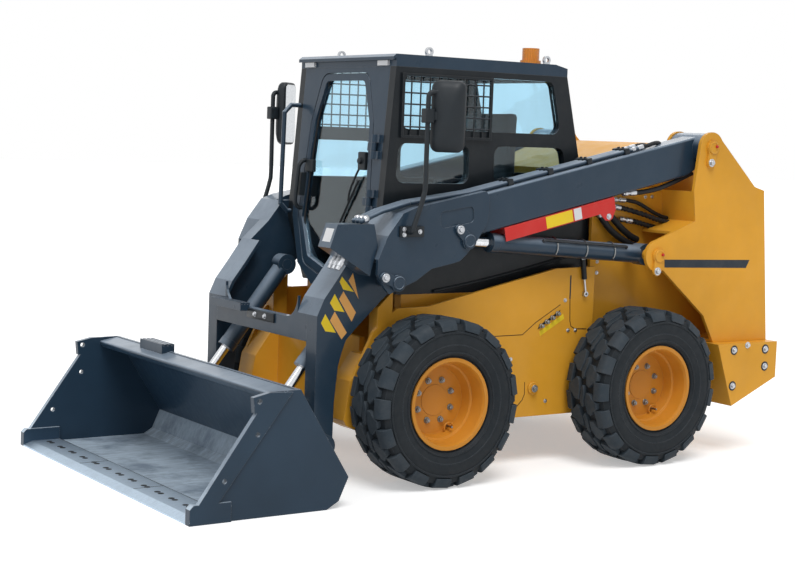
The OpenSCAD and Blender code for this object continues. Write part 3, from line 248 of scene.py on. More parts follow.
def paint(name, colour, roughness=0.34, chip=(0.30, 0.31, 0.33), edge=0.004, coat=0.5, dust=0.10, lying=0.0):
    """Sprayed paint with orange peel, chipped edges under a painted highlight, a film of dust and, where lying
    is given, dust with a painted sky sheen on faces that look up.
    """
    material, nodes, links, shader = blank_material(name)
    soft, edges = edge_wear_and_highlight(nodes, links, edge)
    tone = ramp(nodes, links, noise(nodes, links, 2.3, 5.0), 0.3, 0.7)
    body = mixed(nodes, links, tone, [c * 0.90 for c in colour], [min(1.0, c * 1.10) for c in colour])
    film = ramp(nodes, links, noise(nodes, links, 9.0, 8.0, 0.7), 0.45, 0.85, 0.0, dust)
    dusty = mixed(nodes, links, film, body, (0.34, 0.31, 0.27))
    chips = times(nodes, links, edges, ramp(nodes, links, noise(nodes, links, 55.0, 6.0, 0.7), 0.56, 0.66))
    # Painted highlight: the edge mask mixes the paint towards a paler copy of it along rounded edges, where
    # light would catch them; the chips then go over it
    painted_edge_highlight = mixed(nodes, links, ramp(nodes, links, edges, 0.0, 1.0, 0.0, 0.55), dusty,
                [c * 0.7 + 0.10 for c in colour])
    worn = mixed(nodes, links, chips, painted_edge_highlight, chip)
    # Where lying is given, faces that look up take dust and a painted sky sheen
    links.new(dust_and_sky_sheen(nodes, links, worn, lying) if lying else worn, shader.inputs["Base Color"])
    links.new(ramp(nodes, links, noise(nodes, links, 14.0, 6.0), 0.3, 0.75, roughness * 0.85,
                   roughness * 1.3),
              shader.inputs["Roughness"])
    peel = noise(nodes, links, 420.0, 2.0)
    links.new(bump(nodes, links, peel, 0.06, 0.0006, soft), shader.inputs["Normal"])
    clear_coat(shader, coat)
    return material


def scoured_paint(name, colour, bare, floor_top=0.05):
    """Bucket paint: sprayed outside, rubbed to bare steel on the floor and streaked up the back, with a
    painted highlight on its edges and dust with a painted sky sheen on faces that look up.
    """
    material, nodes, links, shader = blank_material(name)
    soft, edges = edge_wear_and_highlight(nodes, links, 0.006)
    coord = nodes.new("ShaderNodeTexCoord")
    place = nodes.new("ShaderNodeSeparateXYZ")
    links.new(coord.outputs["Object"], place.inputs["Vector"])
    flat = nodes.new("ShaderNodeNewGeometry")
    face = nodes.new("ShaderNodeSeparateXYZ")
    links.new(flat.outputs["Normal"], face.inputs["Vector"])
    up = ramp(nodes, links, face.outputs["Z"], 0.10, 0.70)
    low = ramp(nodes, links, place.outputs["Z"], floor_top * 6, floor_top * 2)
    drag = noise(nodes, links, 22.0, 9.0, 0.72, (0.35, 2.4, 1.0))
    patch = ramp(nodes, links, noise(nodes, links, 3.1, 7.0, 0.66), 0.34, 0.52)
    rubbed = times(nodes, links, times(nodes, links, up, low), patch)
    tone = ramp(nodes, links, noise(nodes, links, 2.6, 6.0), 0.3, 0.7)
    body = mixed(nodes, links, tone, [c * 0.88 for c in colour], [c * 1.14 for c in colour])
    chips = times(nodes, links, edges, ramp(nodes, links, noise(nodes, links, 40.0, 6.0, 0.7), 0.56, 0.66))
    # The bare steel takes the worn colour, whose blue tint is a painted sky reflection
    steel = mixed(nodes, links, ramp(nodes, links, drag, 0.35, 0.68), [c * 0.62 for c in bare], bare)
    # Painted highlight: rounded edges mixed towards a paler copy of the paint
    pale = mixed(nodes, links, ramp(nodes, links, edges, 0.0, 1.0, 0.0, 0.55), body,
                 [c * 0.7 + 0.12 for c in colour])
    # Dust and a painted sky sheen on faces that look up
    painted = dust_and_sky_sheen(nodes, links, mixed(nodes, links, chips, pale, [c * 0.8 for c in bare]), 0.60)
    links.new(mixed(nodes, links, rubbed, painted, steel), shader.inputs["Base Color"])
    links.new(ramp(nodes, links, rubbed, 0.0, 1.0, 0.0, 0.10), shader.inputs["Metallic"])
    links.new(ramp(nodes, links, drag, 0.3, 0.7, 0.46, 0.30), shader.inputs["Roughness"])
    links.new(bump(nodes, links, drag, 0.10, 0.0008, soft), shader.inputs["Normal"])
    clear_coat(shader, 0.7, 0.18)
    return material


def metal(name, colour, roughness, scratch, stretch=(1.0, 1.0, 1.0), edge=0.002, grime=0.25):
    """Bare metal with drawn scratches and dark grime."""
    material, nodes, links, shader = blank_material(name)
    soft = edge_wear_and_highlight(nodes, links, edge)[0]
    lines = noise(nodes, links, 90.0, 8.0, 0.75, stretch)
    tone = mixed(nodes, links, ramp(nodes, links, lines, 0.35, 0.7), [c * 0.75 for c in colour], colour)
    dirt = ramp(nodes, links, noise(nodes, links, 6.0, 9.0, 0.72), 0.5, 0.8, 0.0, grime)
    links.new(mixed(nodes, links, dirt, tone, [c * 0.35 for c in colour]), shader.inputs["Base Color"])
    links.new(ramp(nodes, links, lines, 0.3, 0.7, roughness * 1.35, roughness * 0.8),
              shader.inputs["Roughness"])
    links.new(bump(nodes, links, lines, scratch, 0.0008, soft), shader.inputs["Normal"])
    shader.inputs["Metallic"].default_value = 1.0
    return material


def rubber(name, colour, roughness=0.62, grain=160.0, dust=0.22):
    """Moulded rubber with a fine grain, pale dust and a painted highlight along its edges."""
    material, nodes, links, shader = blank_material(name)
    soft, edges = edge_wear_and_highlight(nodes, links, 0.003)
    film = ramp(nodes, links, noise(nodes, links, 11.0, 9.0, 0.72), 0.42, 0.8, 0.0, dust)
    base = mixed(nodes, links, film, colour, (0.10, 0.105, 0.11))
    # Painted highlight: the edge mask mixes the rubber towards a pale grey-blue along its edges and ridges
    links.new(mixed(nodes, links, ramp(nodes, links, edges, 0.0, 1.0, 0.0, 0.55), base, (0.11, 0.13, 0.15)),
              shader.inputs["Base Color"])
    links.new(ramp(nodes, links, noise(nodes, links, 30.0, 6.0), 0.3, 0.7, roughness, roughness + 0.16),
              shader.inputs["Roughness"])
    links.new(bump(nodes, links, noise(nodes, links, grain, 5.0, 0.7), 0.18, 0.0012, soft),
              shader.inputs["Normal"])
    shader.inputs["Specular IOR Level"].default_value = 0.22
    return material


def pane(name, colour):
    """Tinted safety glass with faint streaks of dust."""
    material, nodes, links, shader = blank_material(name)
    streak = noise(nodes, links, 5.0, 8.0, 0.7, (1.0, 1.0, 0.35))
    links.new(mixed(nodes, links, ramp(nodes, links, streak, 0.35, 0.75), colour, [c * 0.93 for c in colour]),
              shader.inputs["Base Color"])
    links.new(ramp(nodes, links, streak, 0.4, 0.8, 0.01, 0.07), shader.inputs["Roughness"])
    shader.inputs["Transmission Weight"].default_value = 1.0
    shader.inputs["IOR"].default_value = 1.45
    shader.inputs["Specular IOR Level"].default_value = 0.25
    return material


def lens(name, colour, clear, ribs):
    """Moulded lamp lens with fine ribs."""
    material, nodes, links, shader = blank_material(name)
    coord = nodes.new("ShaderNodeTexCoord")
    wave = nodes.new("ShaderNodeTexWave")
    wave.inputs["Scale"].default_value = ribs
    wave.inputs["Distortion"].default_value = 0.2
    links.new(coord.outputs["Object"], wave.inputs["Vector"])
    links.new(mixed(nodes, links, wave.outputs["Fac"], colour, [c * 0.82 for c in colour]),
              shader.inputs["Base Color"])
    links.new(bump(nodes, links, wave.outputs["Fac"], 0.3, 0.002), shader.inputs["Normal"])
    shader.inputs["Roughness"].default_value = 0.12
    shader.inputs["Transmission Weight"].default_value = clear
    return material


def vinyl(name, colour):
    """Seat covering with a pebbled grain and a worn sheen."""
    material, nodes, links, shader = blank_material(name)
    coord = nodes.new("ShaderNodeTexCoord")
    cells = nodes.new("ShaderNodeTexVoronoi")
    cells.inputs["Scale"].default_value = 420.0
    links.new(coord.outputs["Object"], cells.inputs["Vector"])
    shine = noise(nodes, links, 7.0, 5.0)
    links.new(mixed(nodes, links, ramp(nodes, links, shine, 0.35, 0.7), colour, [c * 1.5 for c in colour]),
              shader.inputs["Base Color"])
    links.new(ramp(nodes, links, shine, 0.3, 0.75, 0.62, 0.46), shader.inputs["Roughness"])
    links.new(bump(nodes, links, cells.outputs["Distance"], 0.25, 0.0008), shader.inputs["Normal"])
    return material


def plastic(name, colour, roughness=0.5):
    """Moulded plastic with a fine spark texture."""
    material, nodes, links, shader = blank_material(name)
    soft = edge_wear_and_highlight(nodes, links, 0.003)[0]
    links.new(mixed(nodes, links, ramp(nodes, links, noise(nodes, links, 20.0, 6.0), 0.3, 0.75), colour,
                    [c * 1.35 for c in colour]), shader.inputs["Base Color"])
    links.new(ramp(nodes, links, noise(nodes, links, 40.0, 4.0), 0.3, 0.7, roughness * 0.85,
                   roughness * 1.15),
              shader.inputs["Roughness"])
    links.new(bump(nodes, links, noise(nodes, links, 700.0, 2.0), 0.12, 0.0005, soft),
              shader.inputs["Normal"])
    shader.inputs["Specular IOR Level"].default_value = 0.30
    return material


def finish(name):
    """The finish of that name, made when it is first asked for."""
    c = colours()
    # Each finish: its maker, then the maker's values in their order
    recipes = {
        "ochre_paint": (paint, c.ochre, 0.40, (0.42, 0.32, 0.20), 0.004, 0.45, 0.05),
        # Rims: a warmer ochre, darkened as painted shade of the dished wheels
        "shaded_rim_paint": (paint, c.rim, 0.40, (0.30, 0.20, 0.12), 0.003, 0.4, 0.06),
        # The last value, lying, is the share of dust and painted sky sheen on faces that look up
        "slate_paint": (paint, c.slate, 0.32, (0.22, 0.25, 0.29), 0.004, 0.85, 0.03, 0.52),
        "bucket_paint": (scoured_paint, c.slate, c.worn),
        "black_paint": (paint, c.black, 0.36, (0.08, 0.09, 0.10), 0.004, 0.5, 0.03, 0.15),
        "black_plastic": (plastic, c.black),
        "bright_steel": (metal, (0.58, 0.60, 0.63), 0.30, 0.05),
        "chrome_rod": (metal, (0.80, 0.82, 0.85), 0.10, 0.02, (1.0, 1.0, 1.0), 0.002, 0.05),
        "worn_steel": (metal, c.worn, 0.42, 0.25, (0.25, 3.0, 1.0), 0.004, 0.30),
        "mirror_glass": (metal, (0.78, 0.81, 0.84), 0.04, 0.01, (1.0, 1.0, 1.0), 0.001, 0.04),
        "dark_steel": (metal, (0.060, 0.064, 0.070), 0.45, 0.15, (1.0, 1.0, 1.0), 0.001, 0.2),
        "zinc_steel": (metal, (0.30, 0.31, 0.31), 0.36, 0.06),
        "seam_shade": (paint, (0.085, 0.040, 0.010), 0.6, (0.3, 0.2, 0.1), 0.0004, 0.1),
        "cast_iron": (metal, (0.16, 0.16, 0.17), 0.58, 0.35),
        "tinted_glass": (pane, c.glass),
        "tyre_rubber": (rubber, c.rubber, 0.55, 160.0, 0.12),
        # The tread is the tyres' rubber made three times lighter, with more dust
        "tread_rubber": (rubber, [v * 3.0 for v in c.rubber], 0.60, 120.0, 0.40),
        "hose_rubber": (rubber, (0.012, 0.013, 0.015), 0.45, 260.0, 0.10),
        "seat_vinyl": (vinyl, (0.020, 0.022, 0.025)),
        "lamp_lens": (lens, (0.85, 0.87, 0.90), 0.25, 60.0),
        "amber_lens": (lens, (0.90, 0.30, 0.01), 0.35, 40.0),
        "red_paint": (paint, c.red, 0.32, (0.30, 0.26, 0.25)),
        "yellow_mark": (paint, c.yellow, 0.42, (0.05, 0.06, 0.08), 0.0004, 0.1),
        "orange_mark": (paint, c.orange, 0.42, (0.05, 0.06, 0.08), 0.0004, 0.1),
        "white_mark": (paint, (0.75, 0.76, 0.77), 0.42, (0.4, 0.4, 0.4), 0.0004, 0.1),
        # Dark paint of the tower's stripe and the panel gap, also painted shade under the weight bolts
        "dark_mark_and_shade": (paint, (0.025, 0.034, 0.045), 0.40, (0.5, 0.3, 0.08), 0.0004, 0.1),
    }
    maker, *values = recipes[name]
    return bpy.data.materials.get(name + "_finish") or maker(name, *values)


NODE_FINISHES = {
    "ochre_paint": ("main_frame", "left_tower", "right_tower", "rear_weights", "tail_beam", "engine_hood",
                    "tower_pins"),
    "shaded_rim_paint": ("front_left_rim", "front_right_rim", "rear_left_rim", "rear_right_rim", "axle_stubs"),
    "slate_paint": ("cab_roof", "grab_handle", "door_frame", "tailgate", "left_arm", "right_arm",
                    "cross_member", "coupler_box", "hitch", "tilt_barrels", "lift_barrels", "arm_pins",
                    "arm_tubes", "cab_front"),
    "bucket_paint": ("bucket_shell", "bucket_cheeks"),
    "black_paint": ("cab_base", "left_cab_side", "right_cab_side", "cab_rear", "window_guards"),
    "black_plastic": ("control_levers", "door_latch", "mirrors", "seat"),
    "bright_steel": ("lifting_eyes", "couplers"),
    "chrome_rod": ("lift_rods", "tilt_rods"),
    "worn_steel": ("cutting_edge",),
    "cast_iron": ("engine_block",),
    "tinted_glass": ("side_panes", "rear_pane", "door_pane"),
    "tyre_rubber": ("front_left_tyre", "front_right_tyre", "rear_left_tyre", "rear_right_tyre"),
    "lamp_lens": ("roof_lamps",),
    "amber_lens": ("beacon",),
    "red_paint": ("safety_bar",),
}


# Mesh helpers

def mesh_of(name, verts, faces):
    """A mesh from points and faces."""
    mesh = bpy.data.meshes.new(name)
    mesh.from_pydata([tuple(v) for v in verts], [], faces)
    mesh.update()
    return mesh


def outward(mesh, merge=1e-5):
    """Doubles merged, then every face turned outwards."""
    bm = bmesh.new()
    bm.from_mesh(mesh)
    bmesh.ops.remove_doubles(bm, verts=bm.verts, dist=merge)
    bmesh.ops.recalc_face_normals(bm, faces=bm.faces)
    bm.to_mesh(mesh)
    bm.free()
    return mesh


def joined(name, meshes):
    """Several meshes as one."""
    bm = bmesh.new()
    for mesh in meshes:
        bm.from_mesh(mesh)
    whole = bpy.data.meshes.new(name)
    bm.to_mesh(whole)
    bm.free()
    return whole


def moved(mesh, matrix):
    """A mesh carried by a matrix, its faces still outwards where that mirrors it."""
    mesh.transform(matrix)
    if matrix.determinant() < 0:
        mesh.flip_normals()
    return mesh


def eased(mesh, angle=35.0):
    """Smooth faces with sharp edges kept."""
    mesh.polygons.foreach_set("use_smooth", [True] * len(mesh.polygons))
    mesh.set_sharp_from_angle(angle=math.radians(angle))
    return mesh


def bevelled(mesh, width, segments=2):
    """Every edge sharper than 30 degrees rounded by a width."""
    bm = bmesh.new()
    bm.from_mesh(mesh)
    edges = [e for e in bm.edges if len(e.link_faces) == 2 and e.calc_face_angle(0.0) > math.radians(30)]
    bmesh.ops.bevel(bm, geom=edges, offset=width, segments=segments, profile=0.6, affect="EDGES",
                    clamp_overlap=True)
    bm.to_mesh(mesh)
    bm.free()
    return mesh


# Radius of the fine bore that stands for the axis of a turned piece
POLE = 0.0005


def revolve(name, profile, segments):
    """A closed profile of (radius, height) turned about Y; height runs along Y."""
    verts, faces, n = [], [], len(profile)
    for i in range(segments):
        a = 2 * math.pi * i / segments
        verts += [(r * math.sin(a), h, r * math.cos(a)) for r, h in profile]
    for i in range(segments):
        j = (i + 1) % segments
        for k in range(n):
            m = (k + 1) % n
            faces.append((i * n + k, i * n + m, j * n + m, j * n + k))
    return outward(mesh_of(name, verts, faces))


def lofted(name, rings):
    """Rings of equal count joined one after another, with closed ends."""
    n = len(rings[0])
    last = (len(rings) - 1) * n
    faces = [tuple(range(n)), tuple(range(last + n - 1, last - 1, -1))]
    for k in range(0, last, n):
        faces += [(k + i, k + (i + 1) % n, k + n + (i + 1) % n, k + n + i) for i in range(n)]
    return outward(mesh_of(name, [p for points in rings for p in points], faces))


def prism(name, outline, depth):
    """A flat outline in X and Z made solid along Y, from 0 to depth."""
    return lofted(name, [[(x, y, z) for x, z in outline] for y in (0.0, depth)])


def mesh_box(low, high):
    """A box between two corners."""
    (x0, y0, z0), (x1, y1, z1) = low, high
    verts = [(x, y, z) for x in (x0, x1) for y in (y0, y1) for z in (z0, z1)]
    faces = [(0, 1, 3, 2), (4, 6, 7, 5), (0, 4, 5, 1), (2, 3, 7, 6), (0, 2, 6, 4), (1, 5, 7, 3)]
    return outward(mesh_of("box", verts, faces))


def soft_plate(width, height, radius, steps=6):
    """Outline of a rectangle with round corners, across and up."""
    points = []
    for cx, cy, start in ((1, 1, 0), (-1, 1, 90), (-1, -1, 180), (1, -1, 270)):
        for i in range(steps + 1):
            a = math.radians(start + 90 * i / steps)
            points.append((cx * (width / 2 - radius) + radius * math.cos(a),
                           cy * (height / 2 - radius) + radius * math.sin(a)))
    return points


def sweep(name, points, radius, sides=12, ridge=0.0, turns=0.0):
    """A round tube along points with closed ends; a ridge winds round it where turns is given."""
    pts = [Vector(p) for p in points]
    count = len(pts)
    verts, faces = [], []
    side = (pts[1] - pts[0]).orthogonal().normalized()
    for i, p in enumerate(pts):
        ahead = (pts[min(i + 1, count - 1)] - pts[max(i - 1, 0)]).normalized()
        side = (side - ahead * side.dot(ahead)).normalized()
        up = ahead.cross(side)
        for k in range(sides):
            a = 2 * math.pi * k / sides
            r = radius * (1 + ridge * math.cos(2 * math.pi * turns * i / (count - 1) - a))
            verts.append(p + (side * math.cos(a) + up * math.sin(a)) * r)
    for i in range(count - 1):
        for k in range(sides):
            m = (k + 1) % sides
            faces.append((i * sides + k, i * sides + m, (i + 1) * sides + m, (i + 1) * sides + k))
    faces += [tuple(range(sides - 1, -1, -1)), tuple(range((count - 1) * sides, count * sides))]
    return outward(mesh_of(name, verts, faces))


def smooth_path(points, steps=12):
    """Catmull-Rom points through the given ones, evenly enough for a hose."""
    pts = [Vector(p) for p in points]
    pts = [pts[0] * 2 - pts[1]] + pts + [pts[-1] * 2 - pts[-2]]
    path = []
    for i in range(1, len(pts) - 2):
        a, b, c, d = pts[i - 1:i + 3]
        for s in range(steps):
            t = s / steps
            path.append(0.5 * (2 * b + (c - a) * t + (2 * a - 5 * b + 4 * c - d) * t * t
                               + (3 * b - a - 3 * c + d) * t * t * t))
    return path + [pts[-2]]


def facing(point, normal):
    """Matrix that stands a piece made along +Y on a point, along a normal."""
    n = Vector(normal).normalized()
    q = Vector((0.0, 1.0, 0.0)).rotation_difference(n)
    return Matrix.Translation(point) @ q.to_matrix().to_4x4()


def put(name, mesh, body, slot, material=None):
    """A finished piece at the origin, riding on a body, in its slot's finish or the one that is named."""
    obj = bpy.data.objects.new(name, mesh)
    bpy.context.scene.collection.objects.link(obj)
    mesh.materials.clear()
    mesh.materials.append(finish(material or slot))
    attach(obj, body)
    return obj


# Node trees

def socket_id(tree, name):
    """Identifier of a tree's input, by its name."""
    return next(item.identifier for item in tree.interface.items_tree if item.name == name)


def new_tree(name, inputs):
    """A tree with a geometry in and out, and the named inputs."""
    tree = bpy.data.node_groups.new(name, "GeometryNodeTree")
    tree.interface.new_socket(name="Geometry", in_out="OUTPUT", socket_type="NodeSocketGeometry")
    tree.interface.new_socket(name="Motif", in_out="INPUT", socket_type="NodeSocketGeometry")
    for label, kind in inputs:
        tree.interface.new_socket(name=label, in_out="INPUT", socket_type=kind)
    source = tree.nodes.new("NodeGroupInput")
    target = tree.nodes.new("NodeGroupOutput")
    return tree, source, target


def end_tree(tree, source, target, geometry):
    """Realize Instances and Set Material, as every tree ends."""
    real = tree.nodes.new("GeometryNodeRealizeInstances")
    coat = tree.nodes.new("GeometryNodeSetMaterial")
    tree.links.new(geometry, real.inputs["Geometry"])
    tree.links.new(real.outputs["Geometry"], coat.inputs["Geometry"])
    tree.links.new(source.outputs["Finish"], coat.inputs["Material"])
    tree.links.new(coat.outputs["Geometry"], target.inputs["Geometry"])


def ring_tree():
    """Motif repeated round an axis along Y through a centre."""
    tree = bpy.data.node_groups.get("loader_ring")
    if tree:
        return tree
    tree, source, target = new_tree("loader_ring", (
        ("Count", "NodeSocketInt"), ("Phase", "NodeSocketFloat"), ("Centre", "NodeSocketVector"),
        ("Finish", "NodeSocketMaterial")))
    nodes, links = tree.nodes, tree.links
    line = nodes.new("GeometryNodeMeshLine")
    line.inputs["Offset"].default_value = (0.0, 0.0, 0.0)
    links.new(source.outputs["Count"], line.inputs["Count"])
    links.new(source.outputs["Centre"], line.inputs["Start Location"])
    index = nodes.new("GeometryNodeInputIndex")
    share = nodes.new("ShaderNodeMath")
    share.operation = "DIVIDE"
    links.new(index.outputs["Index"], share.inputs[0])
    links.new(source.outputs["Count"], share.inputs[1])
    turn = nodes.new("ShaderNodeMath")
    turn.operation = "MULTIPLY_ADD"
    turn.inputs[1].default_value = 2 * math.pi
    links.new(share.outputs[0], turn.inputs[0])
    links.new(source.outputs["Phase"], turn.inputs[2])
    axis = nodes.new("ShaderNodeCombineXYZ")
    links.new(turn.outputs[0], axis.inputs["Y"])
    spread = nodes.new("GeometryNodeInstanceOnPoints")
    links.new(line.outputs["Mesh"], spread.inputs["Points"])
    links.new(source.outputs["Motif"], spread.inputs["Instance"])
    links.new(axis.outputs["Vector"], spread.inputs["Rotation"])
    end_tree(tree, source, target, spread.outputs["Instances"])
    return tree


def row_tree():
    """Motif repeated along a straight line from a start to an end."""
    tree = bpy.data.node_groups.get("loader_row")
    if tree:
        return tree
    tree, source, target = new_tree("loader_row", (
        ("Count", "NodeSocketInt"), ("Start", "NodeSocketVector"), ("End", "NodeSocketVector"),
        ("Finish", "NodeSocketMaterial")))
    nodes, links = tree.nodes, tree.links
    line = nodes.new("GeometryNodeMeshLine")
    line.mode = "END_POINTS"
    links.new(source.outputs["Count"], line.inputs["Count"])
    links.new(source.outputs["Start"], line.inputs["Start Location"])
    links.new(source.outputs["End"], line.inputs["Offset"])
    spread = nodes.new("GeometryNodeInstanceOnPoints")
    links.new(line.outputs["Mesh"], spread.inputs["Points"])
    links.new(source.outputs["Motif"], spread.inputs["Instance"])
    end_tree(tree, source, target, spread.outputs["Instances"])
    return tree


def grown(name, motif, tree, values):
    """The plain mesh that a tree makes of a motif."""
    obj = bpy.data.objects.new(name, motif)
    bpy.context.scene.collection.objects.link(obj)
    modifier = obj.modifiers.new("tree", "NODES")
    modifier.node_group = tree
    for label, value in values.items():
        modifier[socket_id(tree, label)] = value
    graph = bpy.context.evaluated_depsgraph_get()
    mesh = bpy.data.meshes.new_from_object(obj.evaluated_get(graph), depsgraph=graph)
    obj.modifiers.clear()
    bpy.data.objects.remove(obj)
    mesh.name = name
    return mesh


def ring(name, motif, count, centre, material, phase=0.0):
    """A motif repeated round a centre, as one mesh."""
    return grown(name, motif, ring_tree(), {
        "Count": count, "Phase": phase, "Centre": tuple(centre), "Finish": finish(material)})


def row(name, motif, count, start, end, material):
    """A motif repeated along a line, as one mesh."""
    return grown(name, motif, row_tree(), {
        "Count": count, "Start": tuple(start), "End": tuple(end), "Finish": finish(material)})


# Motifs

# Bolt heads: radius over the corners and height
BOLTS = {
    "keeper": (0.015, 0.011),
    "weight": (0.0125, 0.010),
    "small": (0.0075, 0.006),
    "plug": (0.0135, 0.010),
    "bar": (0.011, 0.007),
    "step": (0.0095, 0.008),
    "mirror": (0.008, 0.006),
}


def hexagon(radius):
    """Outline of a hexagon by the radius of its corners."""
    return [(radius * math.sin(math.radians(60 * i)), radius * math.cos(math.radians(60 * i)))
            for i in range(6)]


def bolt_head(radius, height):
    """Hexagon head on a washer, standing on Y = 0 and looking along +Y."""
    washer = revolve("washer", [(POLE, 0.0), (radius * 1.45, 0.0), (radius * 1.45, radius * 0.16),
                                (radius * 1.35, radius * 0.24), (POLE, radius * 0.24)], 20)
    head = moved(prism("head", hexagon(radius), height), Matrix.Translation((0.0, radius * 0.2, 0.0)))
    return eased(joined("bolt_head", [washer, bevelled(head, radius * 0.10, 1)]))


def wheel_nut(radius):
    """Hexagon nut with a stud on a cone seat."""
    seat = revolve("nut_seat", [(POLE, 0.0), (radius * 1.35, 0.0), (radius * 1.15, radius * 0.3),
                                (POLE, radius * 0.3)], 20)
    nut = moved(bevelled(prism("nut", hexagon(radius), radius * 0.95), radius * 0.1, 1),
                Matrix.Translation((0.0, radius * 0.28, 0.0)))
    stud = revolve("stud", [(POLE, 0.0), (radius * 0.52, 0.0), (radius * 0.52, radius * 1.45),
                            (radius * 0.42, radius * 1.6), (POLE, radius * 1.6)], 14)
    return eased(joined("wheel_nut", [seat, nut, stud]))


def crimp(radius):
    """Crimped end of a hose with its neck and nut, along +Y from the hose's end."""
    return revolve("crimp", [
        (POLE, -0.030), (radius * 1.22, -0.030), (radius * 1.26, -0.022), (radius * 1.18, -0.019),
        (radius * 1.26, -0.013), (radius * 1.18, -0.010), (radius * 1.26, -0.004), (radius * 1.15, 0.006),
        (radius * 0.75, 0.010), (radius * 0.72, 0.026), (radius * 1.2, 0.028), (radius * 1.2, 0.046),
        (radius * 0.9, 0.048), (radius * 0.9, 0.056), (POLE, 0.056)], 18)


# Fall of a block's crown is measured over the tread's half width
TREAD_HALF = 0.15
TREAD_EASE = 0.003


def drawn_in(outline, amount):
    """An outline's points moved towards its middle."""
    mid = sum(map(Vector, outline), Vector((0.0, 0.0))) / len(outline)
    return [p + (mid - p).normalized() * amount for p in map(Vector, outline)]


def wrapped(u, v, radius, crown):
    """A point u round a tyre, measured at its crown, and v across it, at a radius."""
    return radius * math.sin(u / crown), v, radius * math.cos(u / crown)


def tread_block(outline, floor, crown, fall, inset=0.0022):
    """A block of tread: (round, across) outline wrapped on the tyre, its top drawn in by the inset."""
    rings = []
    for level, amount in ((floor, 0.0), (crown - TREAD_EASE, inset * 0.5), (crown, inset * 1.7)):
        droop = fall if level > floor else 0.0
        rings.append([wrapped(p.x, p.y, level - droop * (abs(p.y) / TREAD_HALF) ** 3, crown)
                      for p in drawn_in(outline, amount)])
    return lofted("tread_block", rings)


def shoulder_block(section, half, crown, inset=0.0025):
    """A shoulder lug: its (across, radius) section run round the tyre over twice the half width."""
    stations = ((-half, inset), (-half + inset, 0.0), (half - inset, 0.0), (half, inset))
    return lofted("shoulder_block", [[wrapped(u, p.x, p.y, crown) for p in drawn_in(section, amount)]
                                     for u, amount in stations])


# Pins of the arms in X and Z, the boom's middle and the leg's face in Y, and marks square to the boom
ARM_PIVOT = Vector((-1.075, 1.674))
LIFT_BASE = Vector((-0.722, 1.097))
LIFT_EYE = Vector((0.488, 1.180))
TILT_TOP = Vector((0.895, 0.983))
BOOM_MIDDLE = 0.610
PATCH_TOP = -0.133
PATCH_FOOT = -0.193
LEG_FACE = 0.550
KEEPER_REACH = 0.080
BOOM_ALONG = Vector((1.522, -0.343)).normalized()
BOOM_UP = Vector((-BOOM_ALONG.y, BOOM_ALONG.x))


def on_boom(along, up):
    """X and Z of a place on the boom, X from the middle of the wheelbase."""
    p = ARM_PIVOT + BOOM_ALONG * along + BOOM_UP * up
    return p.x, p.y


def polar(x, z, degrees, reach):
    """X and Z of a place at an angle and a reach from another."""
    return x + reach * math.cos(math.radians(degrees)), z + reach * math.sin(math.radians(degrees))


def both_sides(mesh, name):
    """A mesh on the left with its twin on the right."""
    return joined(name, [mesh, moved(mesh.copy(), Matrix.Scale(-1, 4, (0, 1, 0)))])


def strip_outline(points, width):
    """Outline of a narrow strip along points."""
    left, right = [], []
    for i, (x, z) in enumerate(points):
        ahead = Vector(points[min(i + 1, len(points) - 1)]) - Vector(points[max(i - 1, 0)])
        off = Vector((-ahead.y, ahead.x)).normalized() * width / 2
        left.append((x + off.x, z + off.y))
        right.append((x - off.x, z - off.y))
    return left + right[::-1]


def plate_on(name, outline, thick, face):
    """A flat plate on a face at Y, its outline in X from the middle of the wheelbase and Z."""
    return moved(prism(name, outline, thick), Matrix.Translation(at(0.0, face, 0.0)))


def studs(name, motif, places, face, turn=0.0):
    """Copies of a motif standing on a face at Y, at X and Z places from the middle of the wheelbase."""
    return joined(name, [moved(motif.copy(), Matrix.Translation(at(x, face, z))
                               @ Matrix.Rotation(turn, 4, "Y"))
                         for x, z in places])


def put_studs(name, motif, places, face, body, slot, material=None, turn=0.0):
    """A finished piece of copies of a motif on a face at Y, with their twins on the right."""
    left = studs(name + "_left", motif, places, face, turn)
    return put(name, eased(both_sides(left, name)), body, slot, material)


# Soft goods

SEAT_STAND_H = 0.235
CUSHION_SHRINK = Vector((0.014, 0.014, 0.012))
CUSHION_VOXEL = 0.012
CUSHION_PRESSURE = 4.0
CUSHION_FRAMES = 20
CUSHION_SWELL = 0.013


